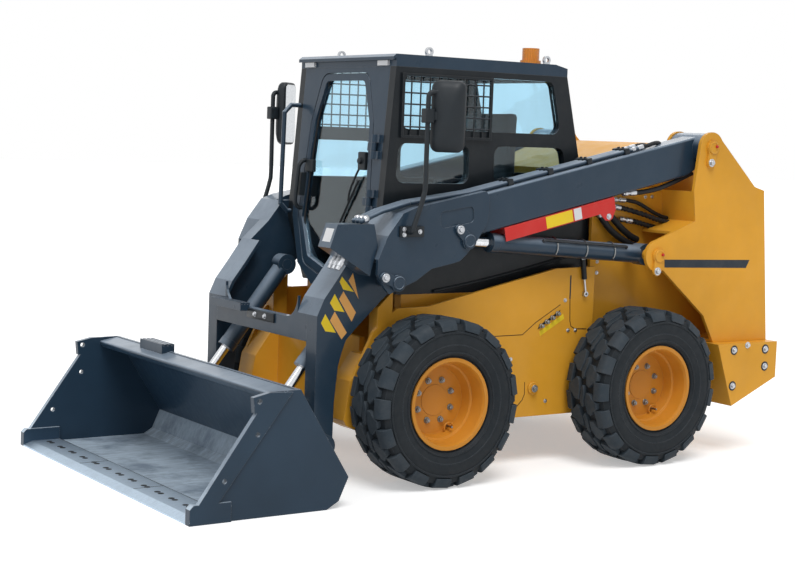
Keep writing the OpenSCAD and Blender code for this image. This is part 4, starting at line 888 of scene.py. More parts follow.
def cushion(name, low, high):
    """A padded cushion that swells out of a smaller box, with its corners drawn in."""
    mesh = bevelled(mesh_box(Vector(low) + CUSHION_SHRINK, Vector(high) - CUSHION_SHRINK), 0.018, 3)
    obj = bpy.data.objects.new(name, mesh)
    bpy.context.scene.collection.objects.link(obj)
    remesh = obj.modifiers.new("remesh", "REMESH")
    remesh.mode = "VOXEL"
    remesh.voxel_size = CUSHION_VOXEL
    graph = bpy.context.evaluated_depsgraph_get()
    obj.data = bpy.data.meshes.new_from_object(obj.evaluated_get(graph), depsgraph=graph)
    obj.modifiers.clear()
    rest = [v.co.copy() for v in obj.data.vertices]
    cloth = obj.modifiers.new("cloth", "CLOTH")
    cloth.settings.use_pressure = True
    cloth.settings.uniform_pressure_force = CUSHION_PRESSURE
    cloth.settings.effector_weights.gravity = 0.0
    cloth.point_cache.frame_start = 1
    cloth.point_cache.frame_end = CUSHION_FRAMES
    scene = bpy.context.scene
    for step in range(1, CUSHION_FRAMES + 1):
        scene.frame_set(step)
    graph = bpy.context.evaluated_depsgraph_get()
    swollen = bpy.data.meshes.new_from_object(obj.evaluated_get(graph), depsgraph=graph)
    obj.modifiers.clear()
    obj.data = swollen
    scene.frame_set(1)
    for vertex, start in zip(obj.data.vertices, rest):
        step = vertex.co - start
        if step.length > CUSHION_SWELL:
            vertex.co = start + step.normalized() * CUSHION_SWELL
    subdivide = obj.modifiers.new("subdivide", "SUBSURF")
    subdivide.levels = subdivide.render_levels = 1
    graph = bpy.context.evaluated_depsgraph_get()
    obj.data = bpy.data.meshes.new_from_object(obj.evaluated_get(graph), depsgraph=graph)
    obj.modifiers.clear()
    eased(obj.data, 80.0)
    obj.data.materials.clear()
    obj.data.materials.append(finish("seat_vinyl"))
    return obj


# Operators

def seen_by(nodes, links, unseen, seen):
    """A strength for rays from the camera, a mirror or glass, and another for the light itself."""
    path = nodes.new("ShaderNodeLightPath")
    source = path.outputs["Is Camera Ray"]
    for label in ("Is Glossy Ray", "Is Transmission Ray"):
        either = nodes.new("ShaderNodeMath")
        either.operation = "MAXIMUM"
        links.new(source, either.inputs[0])
        links.new(path.outputs[label], either.inputs[1])
        source = either.outputs[0]
    return ramp(nodes, links, source, 0.0, 1.0, unseen, seen)


class LOADER_OT_stage(bpy.types.Operator):
    """Floor, light, background and the camera at the photograph's angle"""
    bl_idname = "loader.stage"
    bl_label = "Stage"

    def execute(self, context):
        scene = context.scene
        scene.view_settings.view_transform = "Standard"
        yaw, pitch, roll = (math.radians(a) for a in (CAMERA_YAW, CAMERA_PITCH, CAMERA_ROLL))
        ahead = Vector((math.cos(pitch) * math.cos(yaw), math.cos(pitch) * math.sin(yaw), -math.sin(pitch)))
        right = Vector((math.sin(yaw), -math.cos(yaw), 0.0))
        up = right.cross(ahead)
        r = right * math.cos(roll) + up * math.sin(roll)
        u = up * math.cos(roll) - right * math.sin(roll)
        turn = Matrix((r, u, -ahead)).transposed().to_4x4()
        data = bpy.data.cameras.new("photo_camera")
        data.sensor_width = SENSOR_MM
        data.sensor_fit = "HORIZONTAL"
        data.lens = FOCAL_PX * SENSOR_MM / PHOTO_WIDTH_PX
        camera = bpy.data.objects.new("photo_camera", data)
        camera.matrix_world = Matrix.Translation(CAMERA_PLACE) @ turn
        scene.collection.objects.link(camera)
        scene.camera = camera

        corners = [(x * FLOOR_HALF, y * FLOOR_HALF, 0.0) for x, y in ((-1, -1), (1, -1), (1, 1), (-1, 1))]
        floor = bpy.data.objects.new("floor", mesh_of("floor", corners, [(0, 1, 2, 3)]))
        scene.collection.objects.link(floor)
        material, nodes, links, shader = blank_material("floor_white")
        shader.inputs["Base Color"].default_value = (FLOOR_GREY, FLOOR_GREY, FLOOR_GREY, 1.0)
        shader.inputs["Roughness"].default_value = 0.9
        shader.inputs["Specular IOR Level"].default_value = 0.0
        glow = nodes.new("ShaderNodeEmission")
        links.new(seen_by(nodes, links, 0.0, FLOOR_GLOW), glow.inputs["Strength"])
        both = nodes.new("ShaderNodeAddShader")
        links.new(shader.outputs["BSDF"], both.inputs[0])
        links.new(glow.outputs["Emission"], both.inputs[1])
        links.new(both.outputs["Shader"], nodes["Material Output"].inputs["Surface"])
        floor.data.materials.append(material)

        world = bpy.data.worlds.new("studio")
        scene.world = world
        world.use_nodes = True
        tree = world.node_tree
        background = tree.nodes["Background"]
        background.inputs["Color"].default_value = (1.0, 1.0, 1.0, 1.0)
        tree.links.new(seen_by(tree.nodes, tree.links, SKY_LIGHT, SKY_SEEN), background.inputs["Strength"])

        for name, place, angle, strength in SUNS:
            data = bpy.data.lights.new(name, "SUN")
            data.angle = math.radians(angle)
            data.energy = strength
            lamp = bpy.data.objects.new(name, data)
            lamp.location = place
            lamp.rotation_euler = (-Vector(place)).to_track_quat("-Z", "Y").to_euler()
            scene.collection.objects.link(lamp)
        return {"FINISHED"}


# Routes of the hoses: name, body, diameter share, points from the middle of the wheelbase
HOSE_ROUTES = (
    ("bay_hose_upper", "chassis", 0.8, ((-0.640, 0.517, 1.380), (-0.700, 0.518, 1.377),
                                        (-0.770, 0.522, 1.362), (-0.850, 0.528, 1.325),
                                        (-0.930, 0.528, 1.295), (-1.010, 0.522, 1.282),
                                        (-1.080, 0.516, 1.278))),
    ("bay_hose_middle", "chassis", 1.0, ((-0.610, 0.514, 1.343), (-0.680, 0.516, 1.332),
                                         (-0.790, 0.540, 1.305), (-0.880, 0.552, 1.278),
                                         (-0.970, 0.552, 1.262), (-1.060, 0.545, 1.258))),
    ("bay_hose_lower", "chassis", 1.0, ((-0.690, 0.520, 1.272), (-0.760, 0.520, 1.262),
                                        (-0.860, 0.523, 1.240), (-0.960, 0.525, 1.222),
                                        (-1.050, 0.525, 1.212))),
    ("lift_hose_upper", "chassis", 1.35, ((-0.500, 0.512, 1.372), (-0.540, 0.521, 1.330),
                                          (-0.590, 0.526, 1.278), (-0.650, 0.528, 1.228),
                                          (-0.710, 0.524, 1.192), (-0.775, 0.512, 1.168))),
    ("lift_hose_lower", "chassis", 1.35, ((-0.490, 0.512, 1.318), (-0.522, 0.521, 1.272),
                                          (-0.572, 0.527, 1.220), (-0.640, 0.528, 1.178),
                                          (-0.710, 0.524, 1.148), (-0.780, 0.512, 1.130))),
    ("boom_hose", "loader_arms", 1.0, ((-0.600, 0.640, 1.424), (-0.680, 0.642, 1.430), (-0.780, 0.643, 1.447),
                                       (-0.870, 0.642, 1.474), (-0.950, 0.638, 1.502),
                                       (-1.040, 0.630, 1.534))),
    ("tube_hose_outer", "loader_arms", 0.85,
     ((-0.640, 0.636, 1.660), (-0.705, 0.634, 1.675), (-0.775, 0.618, 1.690),
      (-0.835, 0.586, 1.687), (-0.880, 0.550, 1.655), (-0.900, 0.533, 1.600),
      (-0.903, 0.535, 1.540))),
    ("tube_hose_inner", "loader_arms", 0.85,
     ((-0.640, 0.572, 1.660), (-0.695, 0.570, 1.673), (-0.755, 0.558, 1.676),
      (-0.805, 0.540, 1.652), (-0.832, 0.533, 1.605), (-0.838, 0.535, 1.550))),
)

# Hoses in a wound guard, with the turns along each, and the guard's share of the radius
WOUND_HOSES = {"bay_hose_middle": 20, "bay_hose_lower": 17}
WOUND_RIDGE_SHARE = 0.13


class LOADER_OT_hoses(bpy.types.Operator):
    """Hydraulic hoses in the left bay and on the left boom, with their crimped ends"""
    bl_idname = "loader.hoses"
    bl_label = "Hoses"

    def execute(self, context):
        d = sizes().hose_diameter
        fittings = {"chassis": [], "loader_arms": []}
        for name, body, share, points in HOSE_ROUTES:
            path = smooth_path([at(*p) for p in points], 10)
            radius = d * share / 2
            turns = WOUND_HOSES.get(name, 0)
            line = smooth_path([at(*p) for p in points], 36) if turns else path
            tube = sweep(name + "_mesh", line, radius, 14, WOUND_RIDGE_SHARE if turns else 0.0, turns)
            hose = put(name, eased(tube, 60.0), body, "tyre_rubber", "hose_rubber")
            fittings[body].append(moved(crimp(radius), facing(path[0], path[0] - path[1])))
        for body, crimps in fittings.items():
            put(body + "_hose_fittings", eased(joined(body + "_hose_fittings", crimps)), body, "bright_steel")
        return {"FINISHED"}


class LOADER_OT_finishes(bpy.types.Operator):
    """Paint, metal, glass and plastic on the pieces that keep their own shape"""
    bl_idname = "loader.finishes"
    bl_label = "Finishes"

    def execute(self, context):
        for name, nodes in NODE_FINISHES.items():
            for node in nodes:
                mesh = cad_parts[node].data
                mesh.materials.clear()
                mesh.materials.append(finish(name))
        left = sorted(set(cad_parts) - {n for group in NODE_FINISHES.values() for n in group})
        if left:
            raise RuntimeError("no finish for " + ", ".join(left))
        return {"FINISHED"}


class LOADER_OT_tyres(bpy.types.Operator):
    """Tyres with staggered tread blocks, shoulder lugs and ridged side walls"""
    bl_idname = "loader.tyres"
    bl_label = "Tyres"

    def execute(self, context):
        s = sizes()
        top, half = s.tyre_radius, s.tyre_width / 2
        crown = top - s.tread_depth
        # Half of the section: radius and distance from the tyre's middle, from the bead to the crown
        side = [(0.2064, 0.0), (0.2064, 0.1195), (0.2335, 0.1195), (0.2345, 0.1300), (0.2385, 0.1345),
                (0.2440, 0.1385), (0.2452, 0.1432), (0.2490, 0.1452), (0.2530, 0.1440), (0.2542, 0.1405),
                (0.2700, half - 0.0070), (0.2850, half - 0.0040), (0.2860, half - 0.0022),
                (0.2890, half - 0.0020), (0.2905, half - 0.0034), (0.3150, half - 0.0012),
                (0.3340, half - 0.0030), (0.3420, half - 0.0055), (0.3432, half - 0.0010),
                (0.3500, half - 0.0012), (0.3520, half - 0.0075), (0.3610, half - 0.0100),
                (0.3700, half - 0.0140), (0.3800, half - 0.0190), (crown - 0.004, half - 0.0330),
                (crown, 0.080), (crown + 0.001, 0.030)]
        profile = side + [(r, -h) for r, h in reversed(side[1:])]
        carcass = revolve("carcass", profile, 108)
        pitch = 2 * math.pi * top / s.tread_pitches
        w = pitch * 0.5
        lug = [(0.088, crown - 0.002), (0.088, top - 0.0008), (0.120, top - 0.003), (0.138, top - 0.012),
               (0.1495, top - 0.034), (0.1520, 0.3600), (0.1400, 0.3580)]
        arrow = [(-w * 0.80, 0.030), (-w * 0.10, 0.017), (w * 0.66, 0.030), (w * 0.82, 0.050),
                 (w * 0.52, 0.076), (w * 0.25, 0.107), (-w * 0.20, 0.109), (-w * 0.46, 0.078),
                 (-w * 0.76, 0.058)]
        spine = [(-w * 0.80, 0.004), (-w * 0.62, -0.010), (-w * 0.40, -0.007), (w * 0.30, -0.019),
                 (w * 0.66, -0.012), (w * 0.80, -0.004), (w * 0.62, 0.010), (w * 0.40, 0.007),
                 (-w * 0.30, 0.019), (-w * 0.66, 0.012)]

        def shifted(outline, by):
            return [(u + by, v) for u, v in outline]

        def flipped(outline):
            return [(-u, -v) for u, v in outline]

        blocks = [
            shoulder_block(lug, w * 0.64, top),
            moved(shoulder_block(lug, w * 0.64, top), Matrix.Rotation(pitch * 0.5 / top, 4, "Y")
                  @ Matrix.Scale(-1, 4, (0, 1, 0))),
            tread_block(shifted(arrow, w), crown - 0.003, top - 0.0008, 0.002),
            tread_block(flipped(arrow), crown - 0.003, top - 0.0008, 0.002),
            tread_block(shifted(spine, w * 0.5), crown - 0.003, top - 0.0006, 0.001),
        ]
        motif = joined("tread_motif", blocks)
        for wheel in WHEELS:
            centre = WHEEL_CENTRES[wheel]
            one = motif.copy()
            if centre.y < 0:
                moved(one, Matrix.Rotation(math.pi, 4, "Z"))
            tread = ring(wheel + "_tread", one, s.tread_pitches, centre, "tread_rubber", math.pi / 2)
            put(wheel + "_tread_blocks", eased(tread, 38.0), wheel + "_wheel", "tyre_rubber", "tread_rubber")
            body = moved(carcass.copy(), Matrix.Translation(centre))
            tyre = put(wheel + "_tyre_skin", eased(body, 38.0), wheel + "_wheel", "tyre_rubber")
            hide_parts(wheel + "_tyre")
        return {"FINISHED"}


class LOADER_OT_wheel_fasteners(bpy.types.Operator):
    """Wheel nuts and the valve with its guard on each rim"""
    bl_idname = "loader.wheel_fasteners"
    bl_label = "Wheel fasteners"

    def execute(self, context):
        s = sizes()
        nut = moved(wheel_nut(0.0125), Matrix.Translation((0.0, -0.006, s.nut_circle)))
        valve = moved(revolve("valve", [(POLE, 0.0), (0.0065, 0.0), (0.0065, 0.012), (0.0045, 0.015),
                                        (0.0045, 0.040), (0.0055, 0.042), (0.0055, 0.054), (POLE, 0.054)],
                              14),
                      Matrix.Translation((0.0, -0.006, 0.150)))
        arc = [Vector((0.026 * math.cos(a), 0.012, 0.160 + 0.026 * math.sin(a)))
               for a in (math.pi * (-0.95 + 0.9 * i / 16) for i in range(17))]
        guard = sweep("valve_guard", arc, 0.005, 10)
        for wheel in WHEELS:
            centre = WHEEL_CENTRES[wheel]
            turn = Matrix.Identity(4) if centre.y > 0 else Matrix.Rotation(math.pi, 4, "Z")
            ringed = ring(wheel + "_nuts", moved(nut.copy(), turn), 8, centre, "bright_steel",
                          math.radians(22.5))
            stem = moved(valve.copy(), Matrix.Translation(centre) @ turn
                         @ Matrix.Rotation(math.radians(210), 4, "Y"))
            put(wheel + "_nuts", eased(joined(wheel + "_nuts", [ringed, stem])), wheel + "_wheel",
                "bright_steel", "zinc_steel")
            loop = moved(guard.copy(), Matrix.Translation(centre) @ turn
                         @ Matrix.Rotation(math.radians(210), 4, "Y"))
            put(wheel + "_valve_guard", eased(loop), wheel + "_wheel", "ochre_paint", "shaded_rim_paint")
        return {"FINISHED"}


# Outlines of the slanting marks on the left leg, in X and Z
LEG_MARKS = {
    "yellow": (((1.119, 1.006), (1.131, 0.981), (1.109, 0.944), (1.049, 0.931)),
               ((1.156, 0.924), (1.181, 0.882), (1.155, 0.845), (1.099, 0.836)),
               ((1.205, 0.830), (1.227, 0.788), (1.202, 0.748), (1.143, 0.739))),
    "orange": (((1.058, 1.022), (1.081, 0.986), (1.050, 0.940), (1.021, 0.895)),
               ((1.108, 0.935), (1.131, 0.899), (1.057, 0.789), (1.034, 0.832)),
               ((1.153, 0.840), (1.178, 0.798), (1.110, 0.706), (1.082, 0.737))),
}


class LOADER_OT_marks(bpy.types.Operator):
    """Plain painted marks: slanting bars on the leg and the dark stripe of the tower"""
    bl_idname = "loader.marks"
    bl_label = "Marks"

    def execute(self, context):
        t = sizes().mark_thickness
        for name, outlines in LEG_MARKS.items():
            flats = [plate_on(name, o, t, LEG_FACE) for o in outlines]
            put(name + "_leg_marks", joined(name + "_leg_marks", flats), "loader_arms", "ochre_paint",
                name + "_mark")
        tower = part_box("left_tower")[1][1]
        band = ((-0.770, 1.078), (-0.772, 1.036), (-1.380, 1.024), (-1.406, 1.068))
        put("tower_stripe", plate_on("tower_stripe", band, t, tower), "chassis", "black_paint", "dark_mark_and_shade")
        return {"FINISHED"}


class LOADER_OT_pin_fasteners(bpy.types.Operator):
    """Keeper bolts, pin bosses and grease caps at the pins of the arms and cylinders"""
    bl_idname = "loader.pin_fasteners"
    bl_label = "Pin fasteners"

    def execute(self, context):
        bolt = bolt_head(*BOLTS["keeper"])
        boss = eased(revolve("boss", [(POLE, 0.0), (0.034, 0.0), (0.034, 0.004), (0.031, 0.0065),
                                      (0.026, 0.0065), (0.0245, 0.0050), (POLE, 0.0050)], 36))
        cap = eased(revolve("cap", [(POLE, 0.0), (0.0075, 0.0), (0.0082, 0.004), (0.0070, 0.010),
                                    (0.0035, 0.0130), (POLE, 0.0132)], 16))
        pins = (
            ("chassis", "ochre_paint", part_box("tower_pins")[1][1], ((ARM_PIVOT, -82.0), (LIFT_BASE, -82.0))),
            ("loader_arms", "slate_paint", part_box("arm_pins")[1][1], ((TILT_TOP, 20.0), (LIFT_EYE, 45.0))),
        )
        for body, coat, face, places in pins:
            ends = [polar(*p, a, KEEPER_REACH) for p, a in places]
            put_studs(body + "_keeper_bolts", bolt, ends, face, body, "bright_steel", turn=0.3)
            put_studs(body + "_pin_bosses", boss, [p for p, a in places], face, body, coat)
            if body == "chassis":
                tips = [(x - 0.014, z + 0.008) for (x, z), a in places]
                put_studs("grease_caps", cap, tips, face + 0.005, body, "red_paint")
        return {"FINISHED"}


class LOADER_OT_side_fittings(bpy.types.Operator):
    """Bolts of the weights and side panels, the drain plugs and the row of test ports"""
    bl_idname = "loader.side_fittings"
    bl_label = "Side fittings"

    def execute(self, context):
        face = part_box("rear_weights")[1][1]
        # Painted shade: dark discs under the weight bolts stand for the shade in their counterbores
        dish = eased(revolve("recess_shade", [(POLE, 0.0), (0.026, 0.0), (0.026, 0.0016), (0.0235, 0.0026),
                                        (0.0215, 0.0012), (POLE, 0.0012)], 32))
        corners = ((-1.243, 0.584), (-1.484, 0.580), (-1.486, 0.485), (-1.244, 0.388))
        put_studs("weight_recess_shades", dish, corners, face, "chassis", "ochre_paint", "dark_mark_and_shade")
        put_studs("weight_bolts", bolt_head(*BOLTS["weight"]), corners + ((-1.343, 0.608),), face + 0.001,
                  "chassis", "bright_steel", turn=0.2)

        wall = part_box("main_frame")[1][1]
        small = bolt_head(*BOLTS["small"])
        spots = ((-0.265, 0.855), (-0.293, 0.696), (-0.343, 0.695), (0.080, 0.560), (0.080, 0.330),
                 (-0.160, 0.330))
        put_studs("panel_bolts", small, spots, wall, "chassis", "bright_steel")
        for name, points, width, shade in (
                ("cover_seam", ((0.199, 0.683), (0.011, 0.684), (-0.075, 0.745), (-0.234, 0.833)), 0.0040,
                 "seam_shade"),
                ("bay_seam", ((-0.297, 0.862), (-0.303, 0.745), (-0.312, 0.716), (-0.340, 0.702),
                              (-0.420, 0.699)), 0.0050,
                 "seam_shade"),
                ("guard_seam", ((0.031, 0.309), (-0.006, 0.344), (-0.020, 0.374), (-0.018, 0.437)), 0.0040,
                 "seam_shade"),
                ("panel_gap", ((-0.296, 0.985), (-0.297, 0.862)), 0.0085, "dark_mark_and_shade")):
            seam = plate_on(name, strip_outline(points, width), sizes().mark_thickness, wall)
            put(name, both_sides(seam, name), "chassis", "ochre_paint", shade)
        plug = eased(revolve("plug", [(POLE, 0.0), (0.033, 0.0), (0.033, 0.006), (0.030, 0.009),
                                      (0.020, 0.009), (0.019, 0.016), (0.016, 0.018), (POLE, 0.018)], 28))
        drain = ((-0.072, 0.402),)
        put_studs("drain_plugs", plug, drain, wall, "chassis", "ochre_paint")
        put_studs("plug_bolts", bolt_head(*BOLTS["plug"]), drain, wall + 0.0175, "chassis", "bright_steel",
                  "zinc_steel", 0.4)
        # Painted shade: a black plate stands for the shaded hollow of the test ports' slot
        recess_shade = ((-0.098, 0.728), (-0.088, 0.708), (-0.226, 0.784), (-0.236, 0.806))
        put("port_slot_shade", plate_on("port_slot_shade", recess_shade, 0.0012, wall), "chassis", "black_plastic")
        port = eased(revolve("port", [(POLE, 0.0), (0.0125, 0.0), (0.0125, 0.008), (0.0095, 0.010),
                                      (0.0100, 0.021), (0.0080, 0.024), (POLE, 0.024)], 18))
        put("test_ports", eased(row("test_ports", port, 4, at(-0.108, wall, 0.726), at(-0.214, wall, 0.787),
                                    "zinc_steel")),
            "chassis", "bright_steel", "zinc_steel")
        strip = ((-0.100, 0.697), (-0.107, 0.673), (-0.262, 0.758), (-0.256, 0.784))
        put("port_strip", plate_on("port_strip", strip, sizes().mark_thickness, wall), "chassis",
            "ochre_paint", "yellow_mark")
        inner = ((-0.844, 1.397), (-0.892, 1.398), (-0.520, 1.050), (-0.520, 0.990))
        put_studs("bay_bolts", small, inner, 0.490, "chassis", "bright_steel")

        trim = smooth_path([at(x, 0.4575, z)
                            for x, z in ((0.520, 0.912), (0.300, 0.946), (0.080, 0.986), (-0.150, 1.034),
                                          (-0.330, 1.074))], 8)
        lip = eased(sweep("sill_trim", trim, 0.0075, 12), 60.0)
        put("sill_trims", both_sides(lip, "sill_trims"), "chassis", "black_plastic")

        sleeve = [at(-0.364, 0.5590, 1.068), at(-0.378, 0.5590, 0.965)]
        rod = [at(-0.377, 0.5590, 0.970), at(-0.390, 0.5590, 0.895)]
        eye = revolve("eye", [(0.006, -0.009), (0.014, -0.009), (0.015, 0.0), (0.014, 0.009), (0.006, 0.009)],
                      20)
        eye = moved(eye, Matrix.Translation(at(-0.391, 0.5555, 0.886)))
        head = moved(eye.copy(), Matrix.Translation(Vector((0.0270, 0.0, 0.190))))
        put("stay_sleeve", eased(sweep("stay_sleeve", sleeve, 0.0140, 16), 60.0), "chassis", "black_paint")
        put("stay_rod", eased(joined("stay_rod", [sweep("rod", rod, 0.0055, 12), eye, head])), "chassis",
            "bright_steel")
        return {"FINISHED"}


class LOADER_OT_lift_pipes(bpy.types.Operator):
    """Steel pipe with its clips along each lift cylinder's barrel"""
    bl_idname = "loader.lift_pipes"
    bl_label = "Lift pipes"

    def execute(self, context):
        along = (LIFT_EYE - LIFT_BASE).normalized()
        up = Vector((-along.y, along.x))

        def beside(s, out, rise):
            p = LIFT_BASE + along * s + up * rise
            return at(p.x, BOOM_MIDDLE + out, p.y)

        run = smooth_path([beside(0.150, 0.036, 0.024), beside(0.150, 0.046, 0.032),
                           beside(0.165, 0.049, 0.035), beside(0.200, 0.049, 0.035),
                           beside(0.480, 0.049, 0.035), beside(0.660, 0.049, 0.035),
                           beside(0.695, 0.049, 0.035), beside(0.710, 0.046, 0.032),
                           beside(0.710, 0.036, 0.024)], 6)
        pipe = eased(sweep("lift_pipes", run, 0.0075, 12), 60.0)
        put("lift_pipes", eased(both_sides(pipe, "lift_pipes"), 60.0), "lift_barrels", "bright_steel",
            "dark_steel")
        clips = []
        for s in (0.230, 0.420, 0.620):
            line = [beside(s, 0.0515 * math.cos(a), 0.0515 * math.sin(a))
                    for a in (math.radians(-40 + 10 * i) for i in range(16))]
            clips.append(sweep("clip", line, 0.0042, 8))
        put("lift_pipe_clips", eased(both_sides(joined("clips", clips), "lift_pipe_clips"), 60.0),
            "lift_barrels", "bright_steel", "zinc_steel")
        return {"FINISHED"}


class LOADER_OT_arm_fittings(bpy.types.Operator):
    """Tube clamps and nuts, blank patches, the safety bar's skirt and the bracket of the cross member"""
    bl_idname = "loader.arm_fittings"
    bl_label = "Arm fittings"

    def execute(self, context):
        t = sizes().mark_thickness
        lean = math.atan2(BOOM_ALONG.x, BOOM_ALONG.y) - math.pi / 2
        block = bevelled(mesh_box((-0.016, -0.052, 0.0), (0.016, 0.052, 0.031)), 0.003)
        top = [moved(bolt_head(*BOLTS["small"]), Matrix.Translation((0.0, y, 0.031))
                     @ Matrix.Rotation(math.pi / 2, 4, "X"))
               for y in (-0.0165, 0.0165)]
        clamp = eased(moved(joined("clamp", [block, *top]), Matrix.Rotation(lean, 4, "Y")))
        start, end = on_boom(0.520, 0.0672), on_boom(1.300, 0.0672)
        clamps = row("tube_clamps", clamp, 4, at(start[0], 0.604, start[1]), at(end[0], 0.604, end[1]),
                     "black_plastic")
        put("tube_clamps", eased(clamps), "loader_arms", "black_plastic")

        nut = eased(bevelled(prism("nut", hexagon(0.0175), 0.026), 0.002, 1))
        reach = Vector((0.160, 0.0, -0.045)).normalized()
        standing = moved(nut, facing(Vector((0.0, 0.0, 0.0)), reach))
        put("tube_nuts", eased(row("tube_nuts", standing, 3, at(1.040, 0.572, 1.289), at(1.040, 0.636, 1.289),
                                   "bright_steel")),
            "loader_arms", "bright_steel")

        foot, crown = Vector((1.257, 1.1508)), Vector((1.2184, 1.261))
        out = Vector((crown.y - foot.y, foot.x - crown.x)).normalized()
        patch = []
        for share, y in ((0.24, 0.572), (0.24, 0.640), (0.80, 0.640), (0.80, 0.572)):
            p = foot.lerp(crown, share)
            patch += [at(p.x, y, p.y), at(p.x + out.x * t, y, p.y + out.y * t)]
        quads = [(0, 2, 4, 6), (1, 7, 5, 3), (0, 1, 3, 2), (2, 3, 5, 4), (4, 5, 7, 6), (6, 7, 1, 0)]
        put("box_patch", outward(mesh_of("box_patch", patch, quads)), "loader_arms", "lamp_lens",
            "white_mark")

        bar_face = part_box("safety_bar")[1][1]

        def plate(name, outline, thick, face):
            return plate_on(name, [on_boom(*p) for p in outline], thick, face)

        for name, start, end in (("yellow", 0.950, 1.125), ("white", 0.890, 0.940)):
            corners = ((start, PATCH_TOP), (end, PATCH_TOP), (end, PATCH_FOOT), (start, PATCH_FOOT))
            put("bar_" + name + "_patch", plate(name, corners, t, bar_face), "loader_arms", "red_paint",
                name + "_mark")
        skirt = plate("skirt", ((0.661, -0.150), (0.785, -0.150), (0.765, -0.200), (0.738, -0.238),
                                (0.712, -0.246), (0.690, -0.238), (0.662, -0.200)), 0.0048, 0.6653)
        put("bar_skirt", eased(bevelled(skirt, 0.0008, 1)), "loader_arms", "red_paint")
        pin = on_boom(0.713, -0.222)
        put("bar_bolt", eased(studs("bar_bolt", bolt_head(*BOLTS["bar"]), (pin,), bar_face)), "loader_arms",
            "bright_steel")

        bracket = bevelled(mesh_box(at(1.2490, -0.120, 0.742), at(1.2575, 0.150, 0.788)), 0.0015, 2)
        put("step_bracket", eased(bracket), "loader_arms", "black_paint")
        heads = [moved(bolt_head(*BOLTS["step"]), facing(at(1.2575, y, 0.766), (1.0, 0.0, 0.0)))
                 for y in (-0.035, 0.065)]
        put("step_bolts", eased(joined("step_bolts", heads)), "loader_arms", "bright_steel")
        return {"FINISHED"}


class LOADER_OT_mirrors(bpy.types.Operator):
    """Mirrors with crowned housings on bent stalks"""
    bl_idname = "loader.mirrors"
    bl_label = "Mirrors"

    def execute(self, context):
        turn = Matrix.Translation(at(0.695, 0.770, 1.778)) @ Matrix.Rotation(math.radians(52.0), 4, "Z")
        section = ((-0.030, 0.150, 0.325, 0.032), (-0.027, 0.160, 0.335, 0.036),
                   (-0.020, 0.165, 0.340, 0.038), (0.004, 0.163, 0.338, 0.038), (0.016, 0.150, 0.322, 0.036),
                   (0.030, 0.110, 0.262, 0.030), (0.042, 0.056, 0.150, 0.020), (0.0465, 0.020, 0.060, 0.009))
        housing = moved(lofted("housing", [[(d, u, v) for u, v in soft_plate(w, h, r)]
                                           for d, w, h, r in section]), turn)
        stalk = [(0.850, 0.700, 1.228), (0.850, 0.722, 1.228), (0.849, 0.734, 1.236), (0.842, 0.737, 1.262),
                 (0.815, 0.739, 1.340), (0.797, 0.740, 1.402), (0.790, 0.740, 1.450), (0.790, 0.740, 1.650),
                 (0.790, 0.740, 1.850), (0.787, 0.741, 1.876), (0.774, 0.745, 1.889), (0.740, 0.756, 1.891),
                 (0.700, 0.768, 1.891)]
        tube = sweep("stalk", smooth_path([at(*p) for p in stalk], 5), 0.0118, 16)
        grip = bevelled(mesh_box(at(0.766, 0.716, 1.744), at(0.814, 0.764, 1.812)), 0.007, 3)
        neck = bevelled(mesh_box(at(0.728, 0.740, 1.758), at(0.772, 0.762, 1.798)), 0.006, 2)
        foot = bevelled(mesh_box(at(0.760, 0.6904, 1.202), at(0.898, 0.7040, 1.254)), 0.004, 2)
        piece = both_sides(eased(joined("mirrors", [housing, tube, grip, neck, foot]), 40.0),
                           "mirror_housings")
        shown = put("mirror_housings", eased(piece, 40.0), "loader_arms", "black_plastic")
        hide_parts("mirrors")
        glass = moved(lofted("glass", [[(d, u, v) for u, v in soft_plate(0.140, 0.315, 0.028)]
                                       for d in (-0.0315, -0.029)]), turn)
        put("mirror_glasses", both_sides(glass, "mirror_glasses"), "loader_arms", "bright_steel",
            "mirror_glass")
        spots = ((0.785, 1.228), (0.875, 1.240), (0.875, 1.214))
        put_studs("mirror_bolts", bolt_head(*BOLTS["mirror"]), spots, 0.7040, "loader_arms", "bright_steel")
        return {"FINISHED"}


# Leaning faces of the cab and the rear door: X and Z of the foot, and the lean of X for each metre up
CAB_FOOT = Vector((0.870, 0.900))
CAB_LEAN = -0.085 / 1.115
PANE_INSET = 0.020
GATE_FOOT = Vector((-1.560, 0.620))
GATE_LEAN = 0.080 / 0.830


def front_face(z):
    """X of the cab's leaning front at a height."""
    return CAB_FOOT.x + CAB_LEAN * (z - CAB_FOOT.y)


def gate_face(z):
    """X of the rear door's leaning outside at a height."""
    return GATE_FOOT.x + GATE_LEAN * (z - GATE_FOOT.y)


def on_glass(y, z, out):
    """A place over the door's glass."""
    return at(front_face(z) - PANE_INSET + out, y, z)


